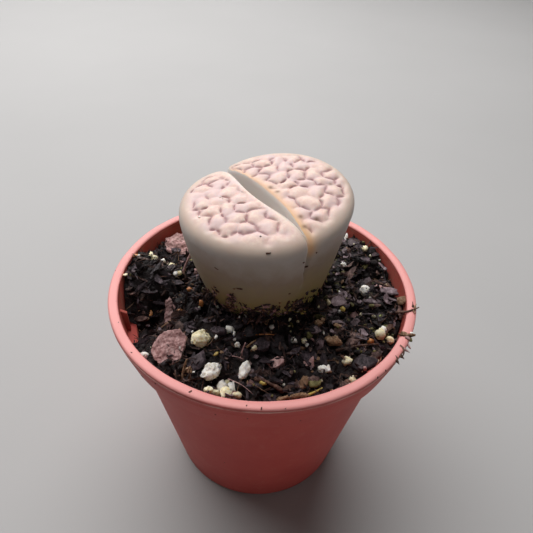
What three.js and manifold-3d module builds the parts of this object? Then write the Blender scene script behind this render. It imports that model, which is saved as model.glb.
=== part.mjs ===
// A potted lithops: a living stone plant in a small plastic nursery pot.
// Millimetres, +Z up. The origin is on the pot's axis, on the surface that the pot stands on.
// -Y is the front. The pot, the soil, the plant and each loose piece on the soil are one mesh each.

import * as THREE from "three";
import { mergeVertices } from "three/addons/utils/BufferGeometryUtils.js";
import Module from "manifold-3d";

const wasm = await Module();
wasm.setup();

// Driving dimensions of the pot
const POT_SIDES = 48;
const POT_HEIGHT = 44;
const RIM_RADIUS = 27.5;
const BEAD_WIDTH = 1.7;
const BEAD_HEIGHT = 0.8;
const BASE_RADIUS = 17.6;
const WALL = 0.85;
const STEP_BOTTOM = 36;
const STEP_TOP = 37;
const COLLAR_BOTTOM_RADIUS = 25.9;
const BODY_TOP_RADIUS = 24.24;
const FOOT_INNER_RADIUS = 11.5;
const PANEL_LIFT = 1.0;
const FLOOR = 0.9;
const DRAIN_RADIUS = 2.2;
const DRAIN_CIRCLE = 8.2;
const DRAIN_COUNT = 5;
const RIB_COUNT = 3;
const RIB_FIRST = 0.625;
const RIB_THICKNESS = 0.6;
const RIB_HEIGHT = 5.2;
const RIB_DEPTH = 1.1;
const RIB_TOP_DEPTH = 0.9;
const RIB_TOP_SLOPE = 1.1;

// Gap between pieces that rest in one another
const CLEARANCE = 0.3;

// Driving dimensions of the soil
const SOIL_LEVEL = 39.5;
const SOIL_SIDES = 44;
const SOIL_RINGS = 11;
const HOLLOW = { x: -22.2, y: -5.6, depth: 5, reach: 5.4 };
const MOUND = { x: -1, y: -2.5, height: 4.4, reach: 12 };
// Where the soil is banked up against the wall: the angle and its spread in degrees, and the height
const BANKS = [
  { angle: 175, spread: 16, height: 4.4 },
  { angle: 152, spread: 14, height: 0.9 },
  { angle: 32, spread: 16, height: 2.9 },
  { angle: -3, spread: 12, height: 1.9 },
];
const BANK_FOOT = 14;
const BANK_TOP = 25;
const BIG_LUMP = 0.45;
const SMALL_LUMP = 0.3;

// Driving dimensions of the plant. Its two leaves meet at a fissure through FISSURE_CENTRE.
const FISSURE_CENTRE = new THREE.Vector2(-0.2, 1.8);
const FISSURE_ANGLE = THREE.MathUtils.degToRad(-55.3);
const FISSURE_DEPTH_LEVEL = 50.5;
const FISSURE_END_RISE = 4;
const FISSURE_END_GAP = 0.08;
const FISSURE_GAP = 0.95;
const MERGE_SLOPE = 0.55;
const NECK_RADIUS = 10.4;
const NECK_ALONG = -1.8;
const NECK_ACROSS = 1.6;
const NECK_ROUNDNESS = 2.2;
const MERGED_LEVEL = 45;
const LEAF_FOOT = 37.5;
const ROOT_JOIN = 39.5;
const TAPROOT_TIP = 15;
const LEAF_SIDES = 40;
const LEAF_RINGS = 9;
const CAP_RINGS = 8;
const LEFT_LEAF = {
  side: -1,
  halfLength: 14,
  depth: 14.1,
  widest: 2.6,
  shift: -0.3,
  shoulder: 58.2,
  dome: 3.5,
  neckDepth: 8.8,
  straightness: 0.52,
  bow: 2,
  outerRoundness: 1.9,
  innerRoundness: 4.3,
  frontRoundness: 4.3,
  outerDomeRoundness: 2.85,
  innerDomeRoundness: 7,
  tiltAlong: 0.05,
  tiltAcross: -0.06,
  seed: 11,
};
const RIGHT_LEAF = {
  side: 1,
  halfLength: 13.8,
  depth: 16.3,
  widest: 2.8,
  shift: -1.7,
  shoulder: 57.5,
  dome: 3.3,
  neckDepth: 12.4,
  straightness: 0.88,
  bow: 1.4,
  outerRoundness: 2.05,
  innerRoundness: 3.3,
  frontRoundness: 6.5,
  outerDomeRoundness: 2.8,
  innerDomeRoundness: 5,
  tiltAlong: 0,
  tiltAcross: 0.17,
  seed: 29,
};

// Net of short grooves between the raised window patches on top of each leaf
const NET_SPACING = 3.05;
const NET_JITTER = 0.27;
const NET_KEEP = 0.66;
const NET_TRIM = 0.3;
const NET_REACH = 0.87;
const NET_REACH_INSIDE = 0.9;
const NET_STEPS = 6;
const NET_WAVER = 0.26;
const GROOVE_WIDTH = 0.74;
const GROOVE_DEPTH = 0.5;
const GROOVE_HEADROOM = 1.2;

// Colours from the photo
const COLOURS = {
  pot: 0xb4605c, soil: 0x201a17, plant: 0xd9cbbd,
  bark: 0x6d4a42, pinkBark: 0x9a716b, darkBark: 0x4a3236, tan: 0x9c7a52,
  perlite: 0xd8d3c8, pumice: 0xc9b98a, twig: 0x5a4038,
  green: 0x7f8a4a, yellow: 0xc2a648, orange: 0xb06a34,
};

// Loose pieces on the soil: place in plan, size as long, wide and thick, turn, tilt, and how far it is sunk
const CHIP_SEED = 101;
const BARK_CHIPS = [
  {
    name: "bark_chip_big_left", at: [-15.1, -13.8], size: [7.8, 6.8, 1.5],
    turn: 70, tilt: 26, sunk: 0.4, colour: "pinkBark",
  },
  {
    name: "bark_chip_back_left", at: [-17.6, 13.7], size: [5.8, 6.4, 1.5],
    turn: 112, tilt: 24, sunk: 0.2, colour: "pinkBark",
  },
  {
    name: "bark_chip_by_pebble", at: [-7.2, -10.9], size: [3.4, 2.4, 1.2],
    turn: -35, tilt: 24, colour: "darkBark",
  },
  {
    name: "bark_chip_heart", at: [0.3, -13.2], size: [3.4, 3, 1.1],
    turn: 15, tilt: 12, colour: "darkBark",
  },
  {
    name: "bark_chip_front", at: [2.6, -16.2], size: [3.2, 2.2, 1],
    turn: 40, tilt: 10, colour: "pinkBark",
  },
  {
    name: "bark_chip_near_plant", at: [10.2, -7], size: [2.7, 1.4, 0.8],
    turn: 38, tilt: 12, colour: "tan",
  },
  {
    name: "bark_chip_orange", at: [12.3, -10.7], size: [3, 1.8, 1],
    turn: -20, tilt: 16, colour: "tan",
  },
  {
    name: "bark_chip_right_inner", at: [16.3, -9.9], size: [4.6, 1.8, 1.1],
    turn: 35, tilt: 12, colour: "bark",
  },
  {
    name: "bark_chip_right_outer", at: [18.9, -13.2], size: [4.2, 1.7, 1.1],
    turn: 20, tilt: 10, colour: "bark",
  },
  {
    name: "bark_chip_front_long", at: [7.6, -19.4], size: [5, 1.7, 1.1],
    turn: 18, tilt: 10, colour: "bark",
  },
  {
    name: "bark_chip_right", at: [22.1, 2], size: [3.6, 2, 1],
    turn: -25, tilt: 10, colour: "pinkBark",
  },
  {
    name: "bark_chip_right_small", at: [20.1, -1.9], size: [2.8, 1.7, 1],
    turn: 12, tilt: 12, colour: "bark",
  },
  {
    name: "bark_chip_standing", at: [-11.6, -18.2], size: [4.4, 2, 1],
    turn: 70, tilt: 62, sunk: 1.2, colour: "tan",
  },
  {
    name: "bark_stick_standing", at: [-16.8, -4.3], size: [7.6, 1.8, 1.1],
    turn: 96, tilt: 30, sunk: 0.4, colour: "pinkBark",
  },
  {
    name: "bark_chip_back", at: [9, 21.5], size: [4, 2.2, 1],
    turn: -15, tilt: 8, colour: "bark",
  },
  {
    name: "bark_chip_back_right", at: [19.8, 10.1], size: [4, 2.4, 1.1],
    turn: -50, tilt: 12, colour: "darkBark",
  },
];
// Grains shorter than COARSE_GRAIN have 20 faces, the others 80
const COARSE_GRAIN = 2.3;
const GRAIN_SEED = 201;
const GRAINS = [
  { name: "pumice_by_chip", at: [-10.1, -12], size: [3.6, 3.2, 2.7], colour: "pumice" },
  { name: "perlite_front_left", at: [-7.6, -18], size: [4, 2.7, 2.4], colour: "perlite" },
  { name: "perlite_oval", at: [-2.4, -17.9], size: [3.4, 2, 2.1], colour: "perlite" },
  { name: "perlite_rim_big", at: [-5.1, -21.9], size: [3, 2.2, 2], colour: "pumice" },
  { name: "perlite_rim_small", at: [-7.9, -21.5], size: [1.7, 1.5, 1.4], colour: "pumice" },
  { name: "perlite_front_right", at: [10.5, -16.4], size: [2.6, 1.8, 1.6], colour: "perlite" },
  { name: "pumice_right_a", at: [14.5, -14.7], size: [2.1, 1.8, 1.6], colour: "pumice" },
  { name: "pumice_right_b", at: [22.2, -9.6], size: [1.8, 1.8, 1.5], colour: "pumice" },
  { name: "perlite_right", at: [19.4, 2.4], size: [2.4, 2, 1.9], colour: "perlite" },
  { name: "perlite_back_right", at: [16.5, 15.2], size: [1.9, 1.8, 1.6], colour: "perlite" },
  { name: "perlite_side_right", at: [15.7, 9.1], size: [1.6, 1.6, 1.4], colour: "perlite" },
  { name: "perlite_centre", at: [5.6, -11.7], size: [1.4, 1.4, 1.2], colour: "perlite" },
  { name: "perlite_centre_left", at: [-3.8, -13.5], size: [1.3, 1.3, 1.1], colour: "perlite" },
  { name: "perlite_left_wall", at: [-19.3, -14.1], size: [1.7, 1.5, 1.4], colour: "perlite" },
  { name: "pumice_back_left_a", at: [-18.1, 6.9], size: [1.9, 1.6, 1.4], colour: "pumice" },
  { name: "pumice_back_left_b", at: [-16.4, 4.8], size: [1.6, 1.4, 1.3], colour: "pumice" },
  { name: "pumice_back_left_c", at: [-21.4, 8.2], size: [1.6, 1.5, 1.3], colour: "pumice" },
  { name: "granule_green", at: [21.3, -4.5], size: [1.6, 1.6, 1.5], colour: "green" },
  { name: "granule_yellow", at: [14.6, -3.1], size: [1.3, 1.3, 1.2], colour: "yellow" },
  { name: "granule_orange", at: [-13.7, 0.9], size: [1.4, 1.4, 1.3], colour: "orange" },
];
const TWIGS = [
  {
    name: "twig_by_plant", at: [-14.9, 10.5],
    length: 7, thick: 0.9, turn: 70, tilt: 30, sunk: 0.9, colour: "twig",
  },
  {
    name: "twig_front_left", at: [1.5, -20.4],
    length: 5, thick: 0.8, turn: -30, tilt: 6, sunk: 0.2, colour: "twig",
  },
  {
    name: "twig_front", at: [5, -22.3],
    length: 6, thick: 0.8, turn: 12, tilt: 5, sunk: 0.2, colour: "tan",
  },
  {
    name: "twig_right", at: [13.8, -19.1],
    length: 5, thick: 0.8, turn: 40, tilt: 6, sunk: 0.2, colour: "twig",
  },
  {
    name: "twig_back", at: [-4.6, 22.5],
    length: 6, thick: 0.8, turn: 10, tilt: 6, sunk: 0.2, colour: "twig",
  },
];

// The same numbers come out each time for the same seed
function seededRandom(seed) {
  let state = seed;
  return () => {
    state = (state * 1664525 + 1013904223) % 4294967296;
    return state / 4294967296;
  };
}

// A closed solid from a geometry: vertices at one place are shared and flat triangles are dropped
function toSolid(geometry) {
  const positions = new THREE.BufferGeometry();
  positions.setAttribute("position", geometry.getAttribute("position"));
  positions.setIndex(geometry.getIndex());
  const merged = mergeVertices(positions, 1e-4);
  const corners = merged.getIndex().array;
  const triangles = [];
  for (let i = 0; i < corners.length; i += 3) {
    const [a, b, c] = corners.slice(i, i + 3);
    if (a !== b && b !== c && c !== a) {
      triangles.push(a, b, c);
    }
  }
  return new wasm.Manifold(new wasm.Mesh({
    numProp: 3,
    vertProperties: new Float32Array(merged.getAttribute("position").array),
    triVerts: new Uint32Array(triangles),
  }));
}

function toGeometry(solid) {
  const mesh = solid.getMesh();
  const geometry = new THREE.BufferGeometry();
  geometry.setAttribute("position", new THREE.BufferAttribute(new Float32Array(mesh.vertProperties), 3));
  geometry.setIndex(new THREE.BufferAttribute(new Uint32Array(mesh.triVerts), 1));
  geometry.computeVertexNormals();
  return geometry;
}

function lathe(profile, sides) {
  const points = profile.map(([radius, height]) => new THREE.Vector2(radius, height));
  return new THREE.LatheGeometry(points, sides).rotateX(Math.PI / 2);
}

// A closed surface through rings of points that all have the same count, from the bottom ring to the top
function skin(rings) {
  const count = rings[0].length;
  const bottom = centreOf(rings[0]);
  const top = centreOf(rings[rings.length - 1]);
  const points = [bottom, ...rings.flat(), top];
  const corner = (ring, step) => 1 + ring * count + (step % count);
  const index = [];
  for (let step = 0; step < count; step += 1) {
    index.push(0, corner(0, step + 1), corner(0, step));
    for (let ring = 0; ring + 1 < rings.length; ring += 1) {
      index.push(corner(ring, step), corner(ring, step + 1), corner(ring + 1, step + 1));
      index.push(corner(ring, step), corner(ring + 1, step + 1), corner(ring + 1, step));
    }
    index.push(corner(rings.length - 1, step), corner(rings.length - 1, step + 1), points.length - 1);
  }
  const geometry = new THREE.BufferGeometry().setFromPoints(points);
  geometry.setIndex(index);
  return geometry;
}

function centreOf(ring) {
  const sum = ring.reduce((total, point) => total.add(point), new THREE.Vector3());
  return sum.divideScalar(ring.length);
}

// Pot

function bodyRadius(height) {
  return THREE.MathUtils.lerp(BASE_RADIUS, BODY_TOP_RADIUS, height / STEP_BOTTOM);
}

function potProfile() {
  const beadTop = POT_HEIGHT;
  const beadBottom = POT_HEIGHT - BEAD_HEIGHT;
  const outside = [
    [0, PANEL_LIFT],
    [FOOT_INNER_RADIUS - 0.3, PANEL_LIFT],
    [FOOT_INNER_RADIUS, 0],
    [BASE_RADIUS - 0.4, 0],
    [bodyRadius(0.4), 0.4],
    [BODY_TOP_RADIUS, STEP_BOTTOM],
    [BODY_TOP_RADIUS + 0.5, STEP_BOTTOM + 0.6],
    [COLLAR_BOTTOM_RADIUS - 0.3, STEP_TOP - 0.2],
    [COLLAR_BOTTOM_RADIUS, STEP_TOP + 0.2],
    [RIM_RADIUS - 0.35, beadBottom - 1.6],
    [RIM_RADIUS - 0.25, beadBottom - 0.35],
    [RIM_RADIUS, beadBottom - 0.1],
    [RIM_RADIUS, beadBottom + 0.05],
    [RIM_RADIUS - 0.15, beadBottom + 0.2],
  ];
  const inside = [
    [RIM_RADIUS - BEAD_WIDTH, beadBottom - 0.1],
    [COLLAR_BOTTOM_RADIUS - WALL, STEP_TOP],
    [BODY_TOP_RADIUS - WALL, STEP_TOP - 0.6],
    [bodyRadius(PANEL_LIFT + FLOOR) - WALL, PANEL_LIFT + FLOOR],
    [0, PANEL_LIFT + FLOOR],
  ];
  return [...outside, ...beadArc(beadTop, beadBottom), ...inside];
}

// The rim bead, from its outer foot over the top to its inner foot
function beadArc(top, bottom) {
  const middle = RIM_RADIUS - BEAD_WIDTH / 2;
  const steps = 6;
  const points = [];
  for (let step = 0; step <= steps; step += 1) {
    const angle = (Math.PI * step) / steps;
    const radius = middle + Math.cos(angle) * BEAD_WIDTH / 2;
    points.push([radius, bottom + 0.3 + Math.sin(angle) * (top - bottom - 0.3)]);
  }
  return points;
}

// A thin upright rib inside the collar, standing on the ledge, its top sloping down from the wall
function innerRib(angle) {
  const wallRadius = COLLAR_BOTTOM_RADIUS - WALL / 2;
  const foot = STEP_TOP - 0.1;
  const outline = new THREE.Shape([
    new THREE.Vector2(wallRadius, foot),
    new THREE.Vector2(wallRadius + 0.6, STEP_TOP + RIB_HEIGHT),
    new THREE.Vector2(wallRadius - RIB_TOP_DEPTH, STEP_TOP + RIB_HEIGHT - RIB_TOP_SLOPE),
    new THREE.Vector2(wallRadius - RIB_DEPTH, foot),
  ]);
  const rib = new THREE.ExtrudeGeometry(outline, { depth: RIB_THICKNESS, bevelEnabled: false });
  return rib.translate(0, 0, -RIB_THICKNESS / 2).rotateX(Math.PI / 2).rotateZ(angle);
}

function drainHole(x, y) {
  const sides = 12;
  const length = 4 * (PANEL_LIFT + FLOOR);
  return new THREE.CylinderGeometry(DRAIN_RADIUS, DRAIN_RADIUS, length, sides)
    .rotateX(Math.PI / 2).translate(x, y, 0);
}

function potGeometry() {
  let pot = toSolid(lathe(potProfile(), POT_SIDES));
  for (let i = 0; i < RIB_COUNT; i += 1) {
    pot = pot.add(toSolid(innerRib((2 * Math.PI * (i + RIB_FIRST)) / RIB_COUNT)));
  }
  for (let i = 0; i < DRAIN_COUNT; i += 1) {
    const angle = (2 * Math.PI * i) / DRAIN_COUNT;
    pot = pot.subtract(toSolid(drainHole(DRAIN_CIRCLE * Math.cos(angle), DRAIN_CIRCLE * Math.sin(angle))));
  }
  return toGeometry(pot.subtract(toSolid(drainHole(0, 0))));
}

// Plant

// How wide the body is at a height, from 0 at the neck to 1 at the shoulder
function flare(leaf, height) {
  const rise = riseAt(leaf, height);
  return leaf.straightness * rise + (1 - leaf.straightness) * Math.sin((Math.PI / 2) * rise);
}

function riseAt(leaf, height) {
  return THREE.MathUtils.clamp((height - SOIL_LEVEL) / (leaf.shoulder - SOIL_LEVEL), 0, 1);
}

// The leaf's top is tilted: how much a place on it is raised, less so further down the side
function tiltLift(leaf, along, across, height) {
  return (leaf.tiltAlong * along + leaf.tiltAcross * (across - leaf.widest)) * riseAt(leaf, height) ** 2;
}

// Where the leaf's inner face lies across the fissure. It is past it below the fissure's floor, where the
// leaves are one. The floor rises towards the fissure's two ends.
function innerFace(leaf, along, height) {
  const endward = Math.min(Math.abs(along) / leaf.halfLength, 1) ** 2;
  const floor = FISSURE_DEPTH_LEVEL + FISSURE_END_RISE * endward ** 2;
  if (height < floor) {
    return -MERGE_SLOPE * (floor - height);
  }
  const rise = Math.min((height - floor) / (leaf.shoulder - floor), 1);
  return FISSURE_GAP * rise * (FISSURE_END_GAP + leaf.bow * (1 - endward));
}

// A point of the leaf's outline at a height, at an angle round it: along and across the fissure
function leafOutline(leaf, angle, height, grow) {
  const wide = flare(leaf, height);
  const halfLength = THREE.MathUtils.lerp(NECK_RADIUS, leaf.halfLength, wide) + grow;
  const depth = THREE.MathUtils.lerp(leaf.neckDepth, leaf.depth, wide) + grow;
  const widest = leaf.widest * wide;
  const [cosine, sine] = [Math.cos(angle), Math.sin(angle)];
  const parted = THREE.MathUtils.smoothstep(height, MERGED_LEVEL, FISSURE_DEPTH_LEVEL + 2);
  const partedRoundness = cosine > 0 ? leaf.frontRoundness : leaf.innerRoundness;
  const innerRoundness = THREE.MathUtils.lerp(NECK_ROUNDNESS, partedRoundness, parted);
  const outerRoundness = THREE.MathUtils.lerp(NECK_ROUNDNESS, leaf.outerRoundness, wide);
  const roundness = sine >= 0 ? outerRoundness : innerRoundness;
  const along = halfLength * Math.sign(cosine) * Math.abs(cosine) ** (2 / roundness);
  const reach = sine >= 0 ? depth - widest : widest - innerFace(leaf, along, height) + grow;
  const across = widest + reach * Math.sign(sine) * Math.abs(sine) ** (2 / roundness);
  return new THREE.Vector2(along + THREE.MathUtils.lerp(NECK_ALONG, leaf.shift, wide), across);
}

// From along and across the fissure to the pot's own axes
function toPlan(leaf, along, across) {
  return new THREE.Vector2(along, leaf.side * across).rotateAround(new THREE.Vector2(), FISSURE_ANGLE)
    .add(FISSURE_CENTRE);
}

function leafRing(leaf, height, grow) {
  const ring = [];
  for (let step = 0; step < LEAF_SIDES; step += 1) {
    const outline = leafOutline(leaf, (2 * Math.PI * step) / LEAF_SIDES, height, grow);
    const plan = toPlan(leaf, outline.x, outline.y);
    ring.push(new THREE.Vector3(plan.x, plan.y, height + tiltLift(leaf, outline.x, outline.y, height)));
  }
  return ring;
}

// The dome falls off sharply towards the fissure and softly elsewhere
function domeRoundness(leaf, towardsFissure) {
  return THREE.MathUtils.lerp(leaf.outerDomeRoundness, leaf.innerDomeRoundness, towardsFissure ** 4);
}

// A ring of the domed top: fraction 0 is the shoulder and 1 is the crest
function domeRing(leaf, fraction) {
  const climb = (Math.PI / 2) * fraction;
  const ring = [];
  for (let step = 0; step < LEAF_SIDES; step += 1) {
    const angle = (2 * Math.PI * step) / LEAF_SIDES;
    const roundness = domeRoundness(leaf, Math.max(0, -Math.sin(angle)));
    const shrink = Math.cos(climb) ** (2 / roundness);
    const outline = leafOutline(leaf, angle, leaf.shoulder, 0);
    const along = THREE.MathUtils.lerp(leaf.shift, outline.x, shrink);
    const across = THREE.MathUtils.lerp(leaf.widest, outline.y, shrink);
    const plan = toPlan(leaf, along, across);
    const rise = leaf.dome * Math.sin(climb) ** (2 / roundness);
    const lift = rise + tiltLift(leaf, along, across, leaf.shoulder);
    ring.push(new THREE.Vector3(plan.x, plan.y, leaf.shoulder + lift));
  }
  return ring;
}

function leafSolid(leaf, grow) {
  const rings = [];
  for (let i = 0; i <= LEAF_RINGS; i += 1) {
    rings.push(leafRing(leaf, THREE.MathUtils.lerp(LEAF_FOOT, leaf.shoulder, i / LEAF_RINGS), grow));
  }
  for (let i = 1; i < CAP_RINGS; i += 1) {
    rings.push(domeRing(leaf, Math.sin((Math.PI / 2) * (i / CAP_RINGS))));
  }
  const outwards = leaf.side > 0 ? rings : rings.map((ring) => ring.slice().reverse());
  return toSolid(skin(outwards));
}

function neckCentre() {
  return toPlan(RIGHT_LEAF, NECK_ALONG, NECK_ACROSS);
}

// The body's lower end and its taproot, below the leaves
function rootSolid(grow) {
  const profile = [
    [0, TAPROOT_TIP - grow],
    [0.8 + grow, TAPROOT_TIP - grow],
    [1.6 + grow, 24],
    [2.6 + grow, 30],
    [4.6 + grow, 33.5],
    [7.6 + grow, 36],
    [NECK_RADIUS - 1.6 + grow, ROOT_JOIN - 1.5],
    [NECK_RADIUS - 1.3 + grow, ROOT_JOIN],
    [0, ROOT_JOIN + 1],
  ];
  const centre = neckCentre();
  return toSolid(lathe(profile, 20).translate(centre.x, centre.y, 0));
}

function plantSolid(grow) {
  return leafSolid(LEFT_LEAF, grow).add(leafSolid(RIGHT_LEAF, grow)).add(rootSolid(grow));
}

// Where a place on the leaf's top is: how far out, from 0 at the middle to 1 at the shoulder, and how much
// that is towards the fissure, from 0 to 1
function placeOnTop(leaf, along, across) {
  const inner = across < leaf.widest;
  const facing = along > leaf.shift ? leaf.frontRoundness : leaf.innerRoundness;
  const roundness = inner ? facing : leaf.outerRoundness;
  const face = innerFace(leaf, along, leaf.shoulder);
  const halfDepth = inner ? leaf.widest - face : leaf.depth - leaf.widest;
  const x = Math.abs((along - leaf.shift) / leaf.halfLength) ** (roundness / 2);
  const y = Math.abs((across - leaf.widest) / halfDepth) ** (roundness / 2);
  return { reach: Math.hypot(x, y) ** (2 / roundness), inward: inner ? Math.sin(Math.atan2(y, x)) : 0 };
}

function heightOnTop(leaf, along, across) {
  const { reach, inward } = placeOnTop(leaf, along, across);
  const roundness = domeRoundness(leaf, inward);
  const lift = leaf.dome * (1 - Math.min(reach, 1) ** roundness) ** (1 / roundness);
  return leaf.shoulder + lift + tiltLift(leaf, along, across, leaf.shoulder);
}

// Whether the net reaches a place: nearly to the fissure, but not to the outer margin
function onWindow(leaf, place) {
  const limit = place.y < leaf.widest ? NET_REACH_INSIDE : NET_REACH;
  const endward = Math.abs(place.x - leaf.shift) / leaf.halfLength;
  return endward < NET_REACH_INSIDE && placeOnTop(leaf, place.x, place.y).reach < limit;
}

// Moves a place a little to and fro, so that the lattice comes out crooked
function wavered({ x, y }) {
  const along = Math.sin(1.3 * y + 0.5 * x) + 0.35 * Math.sin(2.7 * y - 1.2 * x);
  const across = Math.sin(1.2 * x - 0.4 * y) + 0.35 * Math.sin(2.9 * x + 0.9 * y);
  return new THREE.Vector2(x - NET_WAVER * along, y - NET_WAVER * across);
}

// The grooves follow the borders of a jittered lattice of patches, and some of them are left out.
// Each runs from one corner of a patch to the next: ends along and across the fissure, and a width.
function netGrooves(leaf) {
  const random = seededRandom(leaf.seed);
  const sites = new Map();
  for (let row = -NET_STEPS; row <= NET_STEPS; row += 1) {
    for (let column = -NET_STEPS; column <= NET_STEPS; column += 1) {
      const x = (column + row / 2 + (random() - 0.5) * 2 * NET_JITTER) * NET_SPACING;
      const y = (row * Math.sqrt(3) / 2 + (random() - 0.5) * 2 * NET_JITTER) * NET_SPACING;
      sites.set(`${column},${row}`, new THREE.Vector2(x, y + leaf.depth / 2));
    }
  }
  const corner = (places) => {
    const points = places.map(([column, row]) => sites.get(`${column},${row}`));
    return points.every(Boolean) ? points[0].clone().add(points[1]).add(points[2]).divideScalar(3) : null;
  };
  const grooves = [];
  for (let row = -NET_STEPS; row <= NET_STEPS; row += 1) {
    for (let column = -NET_STEPS; column <= NET_STEPS; column += 1) {
      const start = corner([[column, row], [column + 1, row], [column, row + 1]]);
      const ends = [
        corner([[column + 1, row], [column + 1, row + 1], [column, row + 1]]),
        corner([[column, row], [column, row + 1], [column - 1, row + 1]]),
        corner([[column, row], [column + 1, row], [column + 1, row - 1]]),
      ];
      for (const end of ends) {
        const [keep, trimStart, trimEnd, width] = [random(), random(), random(), random()];
        if (start && end && keep < NET_KEEP) {
          grooves.push({
            start: start.clone().lerp(end, NET_TRIM * trimStart),
            end: end.clone().lerp(start, NET_TRIM * trimEnd),
            width: GROOVE_WIDTH * (0.75 + 0.5 * width),
          });
        }
      }
    }
  }
  return grooves.filter(({ start, end }) => onWindow(leaf, start) && onWindow(leaf, end))
    .map(({ start, end, width }) => ({ start: wavered(start), end: wavered(end), width }));
}

// A boat-shaped cutter: pointed at both ends, open to above, with a keel at the groove's depth
function grooveCutter(leaf, { start, end, width }) {
  const sideways = end.clone().sub(start).normalize().rotateAround(new THREE.Vector2(), Math.PI / 2);
  const place = (fraction, offset, lift) => {
    const spot = start.clone().lerp(end, fraction).addScaledVector(sideways, offset);
    const plan = toPlan(leaf, spot.x, spot.y);
    return new THREE.Vector3(plan.x, plan.y, heightOnTop(leaf, spot.x, spot.y) + lift);
  };
  const brim = (lift) => [
    place(-0.08, 0, lift), place(0.14, -width / 2, lift), place(0.86, -width / 2, lift),
    place(1.08, 0, lift), place(0.86, width / 2, lift), place(0.14, width / 2, lift),
  ];
  const keel = [place(0.12, 0, -GROOVE_DEPTH), place(0.88, 0, -GROOVE_DEPTH)];
  const points = [...keel, ...brim(0.02), ...brim(GROOVE_HEADROOM)];
  const faces = [
    [0, 3, 2], [0, 4, 3], [0, 1, 4], [1, 5, 4], [1, 6, 5], [1, 0, 7], [1, 7, 6], [0, 2, 7],
    [8, 9, 13], [9, 12, 13], [9, 10, 12], [10, 11, 12],
  ];
  for (let i = 0; i < 6; i += 1) {
    const next = (i + 1) % 6;
    faces.push([2 + i, 2 + next, 8 + next], [2 + i, 8 + next, 8 + i]);
  }
  const geometry = new THREE.BufferGeometry().setFromPoints(points);
  const ordered = leaf.side > 0 ? faces : faces.map(([a, b, c]) => [a, c, b]);
  geometry.setIndex(ordered.flat());
  return toSolid(geometry);
}

function plantGeometry() {
  let plant = plantSolid(0);
  for (const leaf of [LEFT_LEAF, RIGHT_LEAF]) {
    for (const groove of netGrooves(leaf)) {
      plant = plant.subtract(grooveCutter(leaf, groove));
    }
  }
  return toGeometry(plant);
}

// Soil

function bankHeight(x, y) {
  const angle = THREE.MathUtils.radToDeg(Math.atan2(y, x));
  const height = BANKS.reduce((sum, bank) => {
    const away = THREE.MathUtils.euclideanModulo(angle - bank.angle + 180, 360) - 180;
    return sum + bank.height * Math.exp(-((away / bank.spread) ** 2));
  }, 0);
  return height * THREE.MathUtils.smoothstep(Math.hypot(x, y), BANK_FOOT, BANK_TOP);
}

// Height of the soil's top: a level with lumps of two sizes, heaped at the plant, banked up against the wall
// in places, and hollow at the left wall
function soilHeight(x, y) {
  const lumps = BIG_LUMP * Math.sin(0.62 * x + 1.3) * Math.sin(0.55 * y + 0.4)
    + SMALL_LUMP * Math.sin(1.35 * x - 0.8 * y) * Math.cos(1.1 * y + 0.5 * x);
  const hollow = HOLLOW.depth * Math.exp(-((Math.hypot(x - HOLLOW.x, y - HOLLOW.y) / HOLLOW.reach) ** 2));
  const mound = MOUND.height * Math.exp(-((Math.hypot(x - MOUND.x, y - MOUND.y) / MOUND.reach) ** 2));
  return SOIL_LEVEL + lumps + mound + bankHeight(x, y) - hollow;
}

// What fills the inside of the pot, up past the rim
function potFilling() {
  const floor = PANEL_LIFT + FLOOR + CLEARANCE;
  const inset = WALL + CLEARANCE;
  const besideRibs = COLLAR_BOTTOM_RADIUS - WALL / 2 - RIB_DEPTH - CLEARANCE;
  const profile = [
    [0, floor],
    [bodyRadius(floor) - inset, floor],
    [BODY_TOP_RADIUS - inset, STEP_BOTTOM],
    [BODY_TOP_RADIUS - inset, STEP_TOP + CLEARANCE],
    [besideRibs, STEP_TOP + CLEARANCE],
    [besideRibs, POT_HEIGHT],
    [0, POT_HEIGHT],
  ];
  return toSolid(lathe(profile, SOIL_SIDES));
}

function soilTop() {
  const outer = RIM_RADIUS + 1;
  const ringAt = (radius, height) => {
    const ring = [];
    for (let step = 0; step < SOIL_SIDES; step += 1) {
      const angle = (2 * Math.PI * step) / SOIL_SIDES;
      const [x, y] = [radius * Math.cos(angle), radius * Math.sin(angle)];
      ring.push(new THREE.Vector3(x, y, height ?? soilHeight(x, y)));
    }
    return ring;
  };
  const rings = [ringAt(outer, -1)];
  for (let i = SOIL_RINGS; i >= 1; i -= 1) {
    rings.push(ringAt((outer * i) / SOIL_RINGS));
  }
  return toSolid(skin(rings));
}

// Loose pieces

// A bark chip: a flat plate with an uneven outline, its edges a little slanted
function chipGeometry([long, wide, thick], random, grow) {
  const corners = 7;
  const bottom = [];
  const top = [];
  for (let i = 0; i < corners; i += 1) {
    const angle = (2 * Math.PI * (i + 0.5 * (random() - 0.5))) / corners;
    const swell = 0.8 + 0.2 * random();
    const lower = 0.86 + 0.1 * random();
    const x = (long / 2) * swell * Math.cos(angle) + grow * Math.cos(angle);
    const y = (wide / 2) * swell * Math.sin(angle) + grow * Math.sin(angle);
    bottom.push(new THREE.Vector3(x * lower, y * lower, -thick / 2 - grow));
    top.push(new THREE.Vector3(x, y, thick / 2 + grow + 0.15 * thick * (random() - 0.5)));
  }
  return skin([bottom, top]);
}

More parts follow.
